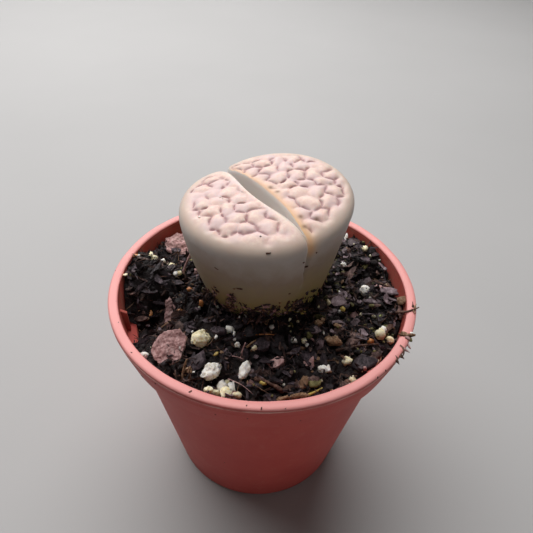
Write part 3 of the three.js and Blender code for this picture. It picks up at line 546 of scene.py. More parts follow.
def coordinates(mesh):
    return vectors(mesh.vertices, "co")


def normals(mesh):
    return vectors(mesh.vertex_normals, "vector")


def set_coordinates(mesh, points):
    mesh.vertices.foreach_set("co", np.asarray(points, np.float32).ravel())
    mesh.update()


def set_attribute(mesh, name, values):
    layer = mesh.attributes.new(name, "FLOAT", "POINT")
    layer.data.foreach_set("value", np.asarray(values, np.float32))


def capped(rings, bottom, top):
    """Points and faces of a closed surface through rings of equal counts, with a fan at each end."""
    count = len(rings[0])
    points = np.vstack([*rings, bottom, top])
    faces = []
    for ring in range(len(rings) - 1):
        low, high = ring * count, (ring + 1) * count
        for step in range(count):
            after = (step + 1) % count
            faces.append((low + step, low + after, high + after, high + step))
    first, last = len(points) - 2, len(points) - 1
    end = (len(rings) - 1) * count
    for step in range(count):
        after = (step + 1) % count
        faces.append((first, after, step))
        faces.append((last, end + step, end + after))
    return points, faces


def skin(rings):
    return capped(rings, rings[0].mean(0), rings[-1].mean(0))


def lathe(profile, sides):
    """A closed surface of revolution from a profile of (radius, height) that starts and ends on the axis."""
    angles = np.arange(sides) * 2 * math.pi / sides
    rings = [
        np.stack([r * np.cos(angles), r * np.sin(angles), np.full(sides, float(z))], 1)
        for r, z in profile[1:-1]
    ]
    return capped(rings, (0, 0, profile[0][1]), (0, 0, profile[-1][1]))


def piece(name, mesh, material, replaces=(), smooth=True):
    """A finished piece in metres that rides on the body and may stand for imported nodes."""
    mesh.transform(Matrix.Scale(MM, 4))
    mesh.name = name
    mesh.materials.clear()
    mesh.materials.append(material)
    mesh.polygons.foreach_set("use_smooth", [smooth] * len(mesh.polygons))
    made = bpy.data.objects.new(name, mesh)
    bpy.context.scene.collection.objects.link(made)
    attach(made, BODY)
    if replaces:
        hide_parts(*replaces)
    return made


# Materials

def linear(red, green, blue):
    """A colour as linear light from the 0 to 255 values of a screen."""
    def one(value):
        value /= 255
        return value / 12.92 if value <= 0.04045 else ((value + 0.055) / 1.055) ** 2.4
    return (one(red), one(green), one(blue), 1.0)


def node(tree, kind, inputs=None, **settings):
    """A node whose inputs are constants or links, by name or number."""
    made = tree.nodes.new(kind)
    for name, value in settings.items():
        setattr(made, name, value)
    for name, value in (inputs or {}).items():
        if isinstance(value, bpy.types.NodeSocket):
            tree.links.new(value, made.inputs[name])
        else:
            made.inputs[name].default_value = value
    return made


def new_material(name, roughness, specular):
    material = bpy.data.materials.new(name)
    material.use_nodes = True
    tree = material.node_tree
    shader = tree.nodes["Principled BSDF"]
    shader.inputs["Roughness"].default_value = roughness
    shader.inputs["Specular IOR Level"].default_value = specular
    return material, tree, shader


def in_millimetres(tree, stretch=(1, 1, 1)):
    """The piece's own coordinates in millimetres."""
    place = node(tree, "ShaderNodeTexCoord").outputs["Object"]
    scale = tuple(value / MM for value in stretch)
    return node(tree, "ShaderNodeVectorMath", {0: place, 1: scale}, operation="MULTIPLY").outputs[0]


def height_of(tree):
    place = in_millimetres(tree)
    return node(tree, "ShaderNodeSeparateXYZ", {0: place}).outputs["Z"]


def grain(tree, place, scale, detail=4.0, roughness=0.55, distortion=0.0):
    inputs = {
        "Vector": place, "Scale": scale, "Detail": detail, "Roughness": roughness, "Distortion": distortion,
    }
    return node(tree, "ShaderNodeTexNoise", inputs).outputs["Fac"]


def spread(tree, value, low, high, new_low=0.0, new_high=1.0):
    inputs = {"Value": value, 1: low, 2: high, 3: new_low, 4: new_high}
    return node(tree, "ShaderNodeMapRange", inputs, interpolation_type="SMOOTHSTEP").outputs[0]


def maths(tree, operation, a, b):
    return node(tree, "ShaderNodeMath", {0: a, 1: b}, operation=operation).outputs[0]


def times(tree, a, b):
    return maths(tree, "MULTIPLY", a, b)


def mixed(tree, factor, a, b, blend="MIX"):
    inputs = {0: factor, 6: a, 7: b}
    return node(tree, "ShaderNodeMix", inputs, data_type="RGBA", blend_type=blend).outputs[2]


def ramp(tree, factor, stops):
    """Colours along a value: stops are (position, colour)."""
    made = node(tree, "ShaderNodeValToRGB", {0: factor})
    elements = made.color_ramp.elements
    while len(elements) < len(stops):
        elements.new(0.5)
    for element, (position, colour) in zip(elements, stops):
        element.position = position
        element.color = colour
    return made.outputs["Color"]


def attribute(tree, name):
    return node(tree, "ShaderNodeAttribute", attribute_name=name).outputs["Fac"]


def bumped(tree, shader, height, distance, strength):
    inputs = {"Height": height, "Distance": distance * MM, "Strength": strength}
    made = node(tree, "ShaderNodeBump", inputs)
    tree.links.new(made.outputs["Normal"], shader.inputs["Normal"])


def finish_colour(tree, shader, colour):
    tree.links.new(colour, shader.inputs["Base Color"])


def scatter_light(shader, weight, radius, depth):
    """Lets light into the surface, as far as the depth in millimetres, by red, green and blue."""
    shader.inputs["Subsurface Weight"].default_value = weight
    shader.inputs["Subsurface Radius"].default_value = radius
    shader.inputs["Subsurface Scale"].default_value = depth * MM


def tinted(tree, colour, darkest, brightest):
    """The colour, darker or brighter by the tint that each small piece has of its own."""
    shade = spread(tree, attribute(tree, "tint"), 0.0, 1.0, darkest, brightest)
    grey = node(tree, "ShaderNodeCombineColor", {0: shade, 1: shade, 2: shade}).outputs[0]
    return mixed(tree, 1.0, colour, grey, "MULTIPLY")


def plastic_material():
    """Satin terracotta polypropylene, dusty inside, with specks of soil, and with painted highlights: a pale
    pink band on the rim's bead and a thin pale line just below the bead.
    """
    material, tree, shader = new_material("pot_plastic", 0.45, 0.25)
    place = in_millimetres(tree)
    mottle = grain(tree, place, 0.12, 5.0)
    colour = ramp(tree, mottle, [(0.3, linear(188, 76, 70)), (0.7, linear(196, 84, 76))])
    film = spread(tree, grain(tree, place, 0.5, 8.0, 0.7), 0.5, 0.8, 0.0, 0.2)
    colour = mixed(tree, film, colour, linear(206, 140, 128))
    # Painted highlight: the top of the rim's bead is painted pale pink where the overhead lamp's sheen falls
    # on it.
    rim_highlight = spread(tree, height_of(tree), POT_HEIGHT - 0.55, POT_HEIGHT - 0.2, 0.0, 0.75)
    colour = mixed(tree, rim_highlight, colour, linear(248, 178, 174))
    # Painted highlight: a thin pale line round the outside just below the bead, broken up by noise.
    above = spread(tree, height_of(tree), POT_HEIGHT - 1.1, POT_HEIGHT - 0.98)
    below = spread(tree, height_of(tree), POT_HEIGHT - 0.75, POT_HEIGHT - 0.65, 0.8, 0.0)
    highlight_breaks = spread(tree, grain(tree, place, 0.25, 4.0), 0.35, 0.6, 0.3, 1.0)
    outside = maths(tree, "SUBTRACT", 1.0, attribute(tree, "inside"))
    line = times(tree, above, below)
    ridge_highlight = times(tree, line, times(tree, highlight_breaks, outside))
    colour = mixed(tree, ridge_highlight, colour, linear(240, 190, 180))
    dusty = spread(tree, grain(tree, place, 0.45, 6.0, 0.65), 0.35, 0.7, 0.1, 0.6)
    dusty = times(tree, dusty, attribute(tree, "inside"))
    colour = mixed(tree, dusty, colour, linear(160, 112, 96))
    dirt = spread(tree, grain(tree, place, 2.2, 3.0, 0.5), 0.7, 0.76)
    patchy = spread(tree, grain(tree, place, 0.35, 2.0), 0.5, 0.62)
    upper = spread(tree, height_of(tree), 30.0, 42.0, 0.1, 0.9)
    specks = times(tree, times(tree, dirt, patchy), upper)
    colour = mixed(tree, specks, colour, linear(46, 24, 20))
    finish_colour(tree, shader, colour)
    satin = spread(tree, height_of(tree), POT_HEIGHT - 2.5, POT_HEIGHT - 0.8, 0.55, 0.32)
    gloss = maths(tree, "ADD", satin, times(tree, specks, 0.4))
    tree.links.new(gloss, shader.inputs["Roughness"])
    peel = maths(tree, "ADD", grain(tree, place, 1.6, 2.0), times(tree, specks, 1.5))
    bumped(tree, shader, peel, 0.03, 0.35)
    return material


def skin_material():
    """The plant's waxy skin: cream windows, mauve grooves, grey shoulders and an olive foot."""
    material, tree, shader = new_material("plant_skin", 0.5, 0.4)
    place = in_millimetres(tree)
    cloud = grain(tree, place, 0.35, 4.0)
    span = {"Value": height_of(tree), 1: SOIL_LEVEL, 2: RIGHT_LEAF.shoulder + 2.0}
    level = node(tree, "ShaderNodeMapRange", span).outputs[0]
    wavering = maths(tree, "ADD", level, spread(tree, cloud, 0.3, 0.7, -0.05, 0.05))
    side = ramp(tree, wavering, [
        (0.02, linear(150, 152, 62)), (0.16, linear(158, 151, 76)), (0.42, linear(160, 147, 104)),
        (0.7, linear(150, 138, 120)), (0.95, linear(178, 172, 166)),
    ])
    crown = ramp(tree, cloud, [(0.35, linear(212, 188, 173)), (0.65, linear(215, 195, 180))])
    colour = mixed(tree, attribute(tree, "crown"), side, crown)
    fleck = spread(tree, grain(tree, place, 1.4, 5.0, 0.6), 0.35, 0.7)
    blush = mixed(tree, fleck, linear(232, 198, 188), linear(246, 222, 208))
    lilac = spread(tree, grain(tree, place, 0.28, 2.0), 0.42, 0.6, 0.0, 0.6)
    blush = mixed(tree, lilac, blush, linear(226, 200, 206))
    uneven = spread(tree, grain(tree, place, 0.9, 3.0), 0.3, 0.6, 0.55, 1.0)
    spots = spread(tree, grain(tree, place, 1.1, 2.0), 0.66, 0.74, 0.0, 0.7)
    layers = (
        ("window", 0.8, blush),
        # Painted shade: the creases between the pillows are painted a darker mauve.
        ("valley", times(tree, attribute(tree, "valley"), 0.45), linear(196, 152, 154)),
        # The fissure's inner face: its own pale grey, painted paler still as painted light where it lies in
        # the left leaf's shade.
        ("face", 1.0, linear(220, 214, 210)),
        ("amber", 1.0, linear(226, 178, 124)),
        # Painted highlight: a thin pale line along the left leaf's edge at the fissure.
        ("brink_highlight", 0.6, linear(255, 240, 226)),
        ("groove", uneven, linear(122, 56, 66)),
        ("spot", 0.85, linear(118, 82, 54)),
        # Painted shade: a dark line in the crease at the fissure's front end.
        ("seam_shade", 0.75, linear(104, 84, 72)),
        ("groove", spots, linear(92, 48, 42)),
    )
    for name, strength, paint in layers:
        colour = mixed(tree, times(tree, attribute(tree, name), strength), colour, paint)
    finish_colour(tree, shader, colour)
    scatter_light(shader, 0.2, (1.0, 0.5, 0.35), 1.2)
    shader.inputs["Sheen Weight"].default_value = 0.12
    shader.inputs["Sheen Roughness"].default_value = 0.5
    tree.links.new(spread(tree, cloud, 0.3, 0.7, 0.46, 0.58), shader.inputs["Roughness"])
    cells = grain(tree, place, 5.0, 3.0, 0.6)
    bumped(tree, shader, cells, 0.03, 0.35)
    return material


def soil_material():
    """Dark peat: near black, with brown lumps and a moist gloss here and there."""
    material, tree, shader = new_material("soil", 0.75, 0.35)
    place = in_millimetres(tree)
    lumps = grain(tree, place, 0.9, 8.0, 0.7)
    colour = ramp(tree, lumps, [
        (0.3, linear(6, 5, 6)), (0.5, linear(18, 13, 14)),
        (0.66, linear(38, 28, 29)), (0.8, linear(80, 62, 60)),
    ])
    colour = mixed(tree, times(tree, attribute(tree, "tint"), 0.35), colour, linear(54, 40, 42))
    finish_colour(tree, shader, colour)
    moist = spread(tree, grain(tree, place, 1.7, 3.0), 0.35, 0.65, 0.45, 0.9)
    tree.links.new(moist, shader.inputs["Roughness"])
    bumped(tree, shader, grain(tree, place, 4.0, 8.0, 0.7), 0.25, 0.9)
    return material


def bark_material(name, dark, middle, light):
    """Flaky bark: streaks along the grain, pale flecks, and a shade of its own for each flake."""
    material, tree, shader = new_material(name, 0.72, 0.35)
    place = in_millimetres(tree, (1.0, 0.55, 1.6))
    streaks = grain(tree, place, 1.3, 9.0, 0.68, 0.4)
    colour = ramp(tree, streaks, [(0.28, dark), (0.5, middle), (0.74, light)])
    colour = tinted(tree, colour, 0.35, 1.25)
    flecks = spread(tree, grain(tree, in_millimetres(tree), 3.2, 4.0), 0.68, 0.76, 0.0, 0.6)
    colour = mixed(tree, flecks, colour, light)
    finish_colour(tree, shader, colour)
    tree.links.new(spread(tree, streaks, 0.3, 0.7, 0.85, 0.55), shader.inputs["Roughness"])
    bumped(tree, shader, grain(tree, place, 3.0, 8.0, 0.65), 0.16, 0.8)
    return material


def mineral_material(name, hollow, body, bright):
    """Perlite or pumice: a pale foamed grain with darker pits."""
    material, tree, shader = new_material(name, 0.7, 0.4)
    place = in_millimetres(tree)
    pits = grain(tree, place, 2.4, 5.0, 0.6)
    colour = ramp(tree, pits, [(0.32, hollow), (0.46, body), (0.7, bright)])
    colour = tinted(tree, colour, 0.7, 1.08)
    finish_colour(tree, shader, colour)
    scatter_light(shader, 0.2, (1.0, 0.9, 0.7), 0.8)
    bumped(tree, shader, grain(tree, place, 4.5, 5.0, 0.6), 0.1, 0.45)
    return material


def granule_material(name, deep, bright):
    material, tree, shader = new_material(name, 0.42, 0.5)
    place = in_millimetres(tree)
    cloud = grain(tree, place, 1.2, 5.0)
    finish_colour(tree, shader, ramp(tree, cloud, [(0.35, deep), (0.65, bright)]))
    bumped(tree, shader, grain(tree, place, 5.0, 3.0), 0.08, 0.5)
    return material


def floor_material():
    material, tree, shader = new_material("pale_floor", 0.65, 0.3)
    place = in_millimetres(tree)
    cloud = grain(tree, place, 0.01, 3.0)
    greys = [(0.3, (0.42, 0.42, 0.42, 1)), (0.7, (0.44, 0.44, 0.44, 1))]
    finish_colour(tree, shader, ramp(tree, cloud, greys))
    return material


def make_materials():
    """The materials by name, in the order in which their small things are built."""
    made = {"pot_plastic": plastic_material(), "plant_skin": skin_material(), "soil": soil_material()}
    makers = (
        (bark_material, BARKS), (mineral_material, MINERALS), (granule_material, GRANULE_COLOURS),
    )
    for maker, table in makers:
        for name, colours in table.items():
            made[name] = maker(name, *(linear(*colour) for colour in colours))
    return made


# Pot

def body_radius(height):
    return lerp(BASE_RADIUS, BODY_TOP_RADIUS, height / STEP_BOTTOM)


def rounded(profile, radius):
    """The profile with each inner corner turned into a small arc."""
    made = [profile[0]]
    for before, corner, after in zip(profile, profile[1:], profile[2:]):
        a, c, b = Vector(before), Vector(corner), Vector(after)
        reach = min(radius, (a - c).length * 0.4, (b - c).length * 0.4)
        start = c + (a - c).normalized() * reach
        end = c + (b - c).normalized() * reach
        for step in range(CORNER_STEPS + 1):
            t = step / CORNER_STEPS
            made.append(tuple(start.lerp(c, t).lerp(c.lerp(end, t), t)))
    return [*made, profile[-1]]


def pot_profile():
    bead_bottom = POT_HEIGHT - BEAD_HEIGHT
    outside = [
        (0, PANEL_LIFT),
        (FOOT_INNER_RADIUS - 0.3, PANEL_LIFT),
        (FOOT_INNER_RADIUS, 0),
        (BASE_RADIUS - 0.4, 0),
        (body_radius(0.4), 0.4),
        (lerp(BASE_RADIUS, BODY_TOP_RADIUS, 0.5), STEP_BOTTOM / 2),
        (BODY_TOP_RADIUS, STEP_BOTTOM),
        (BODY_TOP_RADIUS + 0.5, STEP_BOTTOM + 0.6),
        (COLLAR_BOTTOM_RADIUS - 0.3, STEP_TOP - 0.2),
        (COLLAR_BOTTOM_RADIUS, STEP_TOP + 0.2),
        (RIM_RADIUS - 0.35, bead_bottom - 1.6),
        (RIM_RADIUS - 0.25, bead_bottom - 0.35),
        (RIM_RADIUS, bead_bottom - 0.1),
        (RIM_RADIUS, bead_bottom + 0.05),
        (RIM_RADIUS - 0.15, bead_bottom + 0.2),
    ]
    inside = [
        (RIM_RADIUS - BEAD_WIDTH, bead_bottom - 0.1),
        (COLLAR_BOTTOM_RADIUS - WALL, STEP_TOP),
        (BODY_TOP_RADIUS - WALL, STEP_TOP - 0.6),
        (body_radius(PANEL_LIFT + FLOOR) - WALL, PANEL_LIFT + FLOOR),
        (0, PANEL_LIFT + FLOOR),
    ]
    bead = []
    middle = RIM_RADIUS - BEAD_WIDTH / 2
    for step in range(BEAD_STEPS + 1):
        angle = math.pi * step / BEAD_STEPS
        lift = signed_power(math.sin(angle), 2 / BEAD_SQUARENESS) * (BEAD_HEIGHT - 0.3)
        out = signed_power(math.cos(angle), 2 / BEAD_SQUARENESS) * BEAD_WIDTH / 2
        bead.append((middle + float(out), bead_bottom + 0.3 + float(lift)))
    return [*rounded([*outside, bead[0]], 0.25)[:-1], *bead, *rounded([bead[-1], *inside], 0.2)[1:]]


def inner_rib(angle):
    """A thin upright rib inside the collar, standing on the ledge, its top sloping down from the wall."""
    wall = COLLAR_BOTTOM_RADIUS - WALL / 2
    foot = STEP_TOP - 0.1
    outline = [
        (wall, foot), (wall + 0.6, STEP_TOP + RIB_HEIGHT),
        (wall - RIB_TOP_DEPTH, STEP_TOP + RIB_HEIGHT - RIB_TOP_SLOPE),
        (wall - RIB_DEPTH, foot),
    ]
    half = RIB_THICKNESS / 2
    points = [(r, side * half, z) for side in (-1, 1) for r, z in outline]
    faces = [(3, 2, 1, 0), (4, 5, 6, 7)]
    faces += [(i, (i + 1) % 4, 4 + (i + 1) % 4, 4 + i) for i in range(4)]
    mesh = mesh_from("rib", points, faces)
    mesh.transform(Matrix.Rotation(angle, 4, "Z"))
    outward(mesh)
    return mesh


def outward(mesh):
    """Turns the faces of a closed mesh outwards if they point in."""
    volume = 0.0
    for polygon in mesh.polygons:
        volume += polygon.center.dot(polygon.normal) * polygon.area
    if volume < 0:
        mesh.flip_normals()


def drain_hole(x, y):
    points, faces = lathe([(0, -2), (DRAIN_RADIUS, -2), (DRAIN_RADIUS, 4), (0, 4)], DRAIN_SIDES)
    mesh = mesh_from("hole", points + np.array((x, y, 0)), faces)
    outward(mesh)
    return mesh


def make_pot(materials):
    points, faces = lathe(pot_profile(), POT_SIDES)
    waver = np.array([rough((p[0], p[1], 0), RIM_SAG_FREQUENCY, 2) for p in points])
    high = smoothstep(points[:, 2], STEP_TOP, POT_HEIGHT)
    points[:, 2] -= high * np.abs(waver) * RIM_SAG
    mesh = mesh_from("pot", points, faces)
    outward(mesh)
    for i in range(RIB_COUNT):
        mesh = joined(mesh, inner_rib(2 * math.pi * (i + RIB_FIRST) / RIB_COUNT))
    for i in range(DRAIN_COUNT):
        angle = 2 * math.pi * i / DRAIN_COUNT
        hole = drain_hole(DRAIN_CIRCLE * math.cos(angle), DRAIN_CIRCLE * math.sin(angle))
        mesh = joined(mesh, hole, "DIFFERENCE")
    mesh = joined(mesh, drain_hole(0, 0), "DIFFERENCE")
    points, facing = coordinates(mesh), normals(mesh)
    radius = np.hypot(points[:, 0], points[:, 1])
    inwards = -(points[:, 0] * facing[:, 0] + points[:, 1] * facing[:, 1]) / (radius + 1)
    below_rim = 1 - smoothstep(points[:, 2], POT_HEIGHT - 1.0, POT_HEIGHT - 0.4)
    set_attribute(mesh, "inside", smoothstep(inwards, 0.2, 0.8) * below_rim)
    made = piece("pot_shell", mesh, materials["pot_plastic"], ("pot",))
    made.data.set_sharp_from_angle(angle=math.radians(SHARP_ANGLE))
    return made


# Plant

def rise_at(leaf, height):
    return np.clip((height - SOIL_LEVEL) / (leaf.shoulder - SOIL_LEVEL), 0, 1)


def flare(leaf, height):
    """How wide the body is at a height, from 0 at the neck to 1 at the shoulder."""
    rise = rise_at(leaf, height)
    return leaf.straightness * rise + (1 - leaf.straightness) * np.sin(math.pi / 2 * rise)


def tilt_lift(leaf, along, across, height):
    return (leaf.tilt_along * along + leaf.tilt_across * (across - leaf.widest)) * rise_at(leaf, height) ** 2


def inner_face(leaf, along, height):
    """Where the leaf's inner face lies across the fissure, whose floor rises towards its ends."""
    endward = np.minimum(np.abs(along) / leaf.half_length, 1) ** 2
    floor = FISSURE_DEPTH_LEVEL + FISSURE_END_RISE * endward ** 2
    rise = np.clip((height - floor) / (leaf.shoulder - floor), 0, 1)
    above = FISSURE_GAP * rise * (FISSURE_END_GAP + leaf.bow * (1 - endward))
    return np.where(height < floor, -MERGE_SLOPE * (floor - height), above)


def leaf_outline(leaf, angle, height):
    """Along and across the fissure, at angles round the leaf and heights."""
    wide = flare(leaf, height)
    half_length = lerp(NECK_RADIUS, leaf.half_length, wide)
    depth = lerp(leaf.neck_depth, leaf.depth, wide)
    widest = leaf.widest * wide
    cosine, sine = np.cos(angle), np.sin(angle)
    parted = smoothstep(height, MERGED_LEVEL, FISSURE_DEPTH_LEVEL + 2)
    inner = lerp(NECK_ROUNDNESS, np.where(cosine > 0, leaf.front_roundness, leaf.inner_roundness), parted)
    outer = lerp(NECK_ROUNDNESS, leaf.outer_roundness, wide)
    roundness = np.where(sine >= 0, outer, inner)
    along = half_length * signed_power(cosine, 2 / roundness)
    reach = np.where(sine >= 0, depth - widest, widest - inner_face(leaf, along, height))
    across = widest + reach * signed_power(sine, 2 / roundness)
    return along + lerp(NECK_ALONG, leaf.shift, wide), across


def to_plan(leaf, along, across):
    """From along and across the fissure to the pot's own axes."""
    cosine, sine = math.cos(FISSURE_ANGLE), math.sin(FISSURE_ANGLE)
    sideways = leaf.side * across
    x = along * cosine - sideways * sine + FISSURE_CENTRE.x
    y = along * sine + sideways * cosine + FISSURE_CENTRE.y
    return x, y


def from_plan(x, y):
    """Along the fissure, and how far to its right leaf's side."""
    cosine, sine = math.cos(FISSURE_ANGLE), math.sin(FISSURE_ANGLE)
    x, y = x - FISSURE_CENTRE.x, y - FISSURE_CENTRE.y
    return x * cosine + y * sine, -x * sine + y * cosine


def dome_roundness(leaf, towards_fissure):
    return lerp(leaf.outer_dome_roundness, leaf.inner_dome_roundness, towards_fissure ** 4)


def even_steps(x, y, count, closed):
    """Fractions of a dense curve's points that lie evenly along it."""
    lengths = np.concatenate([[0], np.cumsum(np.hypot(np.diff(x), np.diff(y)))])
    wanted = np.linspace(0, lengths[-1], count + 1 if closed else count)
    if closed:
        wanted = wanted[:-1]
    return np.interp(wanted, lengths, np.arange(len(x)) / (len(x) - 1))


def even_angles(leaf):
    dense = np.linspace(0, 2 * math.pi, 6001)
    along, across = leaf_outline(leaf, dense, np.full_like(dense, leaf.shoulder))
    return even_steps(along, across, LEAF_SIDES, True) * 2 * math.pi


def even_climbs(leaf):
    """Climbs from the shoulder to just short of the crest, evenly spaced over the dome."""
    dense = np.linspace(0, math.pi / 2, 3001)
    power = 2 / leaf.outer_dome_roundness
    steps = even_steps(leaf.half_length * np.cos(dense) ** power, leaf.dome * np.sin(dense) ** power,
                       CAP_RINGS + 1, False)
    return steps[1:-1] * math.pi / 2


def reach_on_top(leaf, along, across):
    """How far out a place on the leaf's top is, from 0 at its middle to 1 at the shoulder."""
    inner = across < leaf.widest
    facing = np.where(along > leaf.shift, leaf.front_roundness, leaf.inner_roundness)
    roundness = np.where(inner, facing, leaf.outer_roundness)
    inner_depth = leaf.widest - inner_face(leaf, along, leaf.shoulder)
    half_depth = np.where(inner, inner_depth, leaf.depth - leaf.widest)
    x = np.abs((along - leaf.shift) / leaf.half_length) ** roundness
    y = np.abs((across - leaf.widest) / half_depth) ** roundness
    return (x + y) ** (1 / roundness)


def net_borders(leaf):
    """The borders of a jittered lattice of patches: start, end, width, and whether each is a groove."""
    draw = seeded_random(leaf.seed)
    sites = {}
    steps = range(-NET_STEPS, NET_STEPS + 1)
    for row in steps:
        for column in steps:
            x = (column + row / 2 + (next(draw) - 0.5) * 2 * NET_JITTER) * NET_SPACING
            y = (row * math.sqrt(3) / 2 + (next(draw) - 0.5) * 2 * NET_JITTER) * NET_SPACING
            sites[column, row] = Vector((x, y + leaf.depth / 2))

    def corner(*places):
        points = [sites.get(place) for place in places]
        return None if None in points else (points[0] + points[1] + points[2]) / 3

    borders = []
    for row in steps:
        for column in steps:
            start = corner((column, row), (column + 1, row), (column, row + 1))
            ends = (
                corner((column + 1, row), (column + 1, row + 1), (column, row + 1)),
                corner((column, row), (column, row + 1), (column - 1, row + 1)),
                corner((column, row), (column + 1, row), (column + 1, row - 1)),
            )
            for end in ends:
                keep, trim_start, trim_end, width = (next(draw) for _ in range(4))
                if start is None or end is None:
                    continue
                borders.append(SimpleNamespace(
                    start=start.lerp(end, NET_TRIM * trim_start),
                    end=end.lerp(start, NET_TRIM * trim_end),
                    width=GROOVE_WIDTH * (0.75 + 0.5 * width),
                    groove=keep < NET_KEEP,
                    dark_start=0.5 + 0.5 * trim_end,
                    dark_end=0.5 + 0.5 * trim_start,
                ))
    return [border for border in borders if on_window(leaf, border.start) and on_window(leaf, border.end)]


def on_window(leaf, place):
    """Whether the net reaches a place: nearly to the fissure, but not to the outer margin."""
    if abs(place.x - leaf.shift) > NET_REACH_INSIDE * leaf.half_length:
        return False
    limit = NET_REACH_INSIDE if place.y < leaf.widest else NET_REACH
    return reach_on_top(leaf, place.x, place.y) < limit


def beside(border, along, across):
    """How far along a border places lie, from 0 to 1, and their distance from it."""
    run = border.end - border.start
    t = ((along - border.start.x) * run.x + (across - border.start.y) * run.y) / run.length_squared
    t = np.clip(t, 0, 1)
    return t, np.hypot(along - border.start.x - t * run.x, across - border.start.y - t * run.y)


def wavered(along, across):
    """Places moved a little to and fro, so that straight borders come out crooked."""
    move_along = np.sin(1.3 * across + 0.5 * along) + 0.35 * np.sin(2.7 * across - 1.2 * along)
    move_across = np.sin(1.2 * along - 0.4 * across) + 0.35 * np.sin(2.9 * along + 0.9 * across)
    return along + NET_WAVER * move_along, across + NET_WAVER * move_across


def net_at(leaf, along, across):
    """Groove strength and crease depth, both 0 to 1, at places on the leaf's top."""
    along, across = wavered(along, across)
    groove = np.zeros_like(along)
    crease = np.zeros_like(along)
    for border in net_borders(leaf):
        t, distance = beside(border, along, across)
        if border.groove:
            swell = 0.35 + 0.65 * np.sin(math.pi * (0.12 + 0.76 * t)) ** 1.5
            stroke = np.exp(-(distance / (0.5 * border.width * swell)) ** 2)
            groove = np.maximum(groove, stroke * lerp(border.dark_start, border.dark_end, t))
        near = 1 - np.minimum(distance / PILLOW_REACH, 1)
        valley = 1 - np.cos(math.pi / 2 * near)
        crease += (valley if border.groove else FAINT_CREASE * valley) ** 3
    return groove, np.minimum(crease, 1.6) ** (1 / 3)


def on_pillows(leaf, along, across):
    """1 where the pillows are, and 0 at the shoulder and at the brink of the fissure."""
    inward = across - inner_face(leaf, along, leaf.shoulder)
    reach = reach_on_top(leaf, along, across)
    return (1 - smoothstep(reach, *PILLOW_REACHES)) * smoothstep(inward, *PILLOW_INWARD)


def relief(leaf, along, across):
    """Depth of the creases between the pillows and of the grooves in them, below the smooth dome."""
    groove, crease = net_at(leaf, along, across)
    return -on_pillows(leaf, along, across) * (PILLOW_HEIGHT * crease + GROOVE_DEPTH * groove)


def leaf_mesh(leaf):
    angles = even_angles(leaf)[None, :]
    heights = np.linspace(LEAF_FOOT, leaf.shoulder, LEAF_RINGS)[:, None]
    along, across = leaf_outline(leaf, angles, heights)
    x, y = to_plan(leaf, along, across)
    lift = tilt_lift(leaf, along, across, heights)
    sides = np.stack([x, y, heights + lift], -1)

    climbs = even_climbs(leaf)[:, None]
    roundness = dome_roundness(leaf, np.maximum(0, -np.sin(angles)))
    shrink = np.cos(climbs) ** (2 / roundness)
    outline_along, outline_across = leaf_outline(leaf, angles, np.full_like(angles, leaf.shoulder))
    along = lerp(leaf.shift, outline_along, shrink)
    across = lerp(leaf.widest, outline_across, shrink)
    lift = leaf.dome * np.sin(climbs) ** (2 / roundness) + tilt_lift(leaf, along, across, leaf.shoulder)
    x, y = to_plan(leaf, along, across)
    top = np.stack([x, y, leaf.shoulder + lift + relief(leaf, along, across)], -1)

    points, faces = skin([*sides, *top])
    mesh = mesh_from("leaf", points, faces)
    outward(mesh)
    return mesh


def root_mesh():
    """The body's lower end and its taproot, in the soil."""
    profile = [
        (0, TAPROOT_TIP), (0.8, TAPROOT_TIP), (1.6, 24), (2.6, 30), (4.6, 33.5), (7.6, 36),
        (NECK_RADIUS - 1.6, ROOT_JOIN - 1.5), (NECK_RADIUS - 1.3, ROOT_JOIN), (0, ROOT_JOIN + 1),
    ]
    points, faces = lathe(profile, ROOT_SIDES)
    x, y = to_plan(RIGHT_LEAF, NECK_ALONG, NECK_ACROSS)
    mesh = mesh_from("root", points + np.array((x, y, 0)), faces)
    outward(mesh)
    return mesh


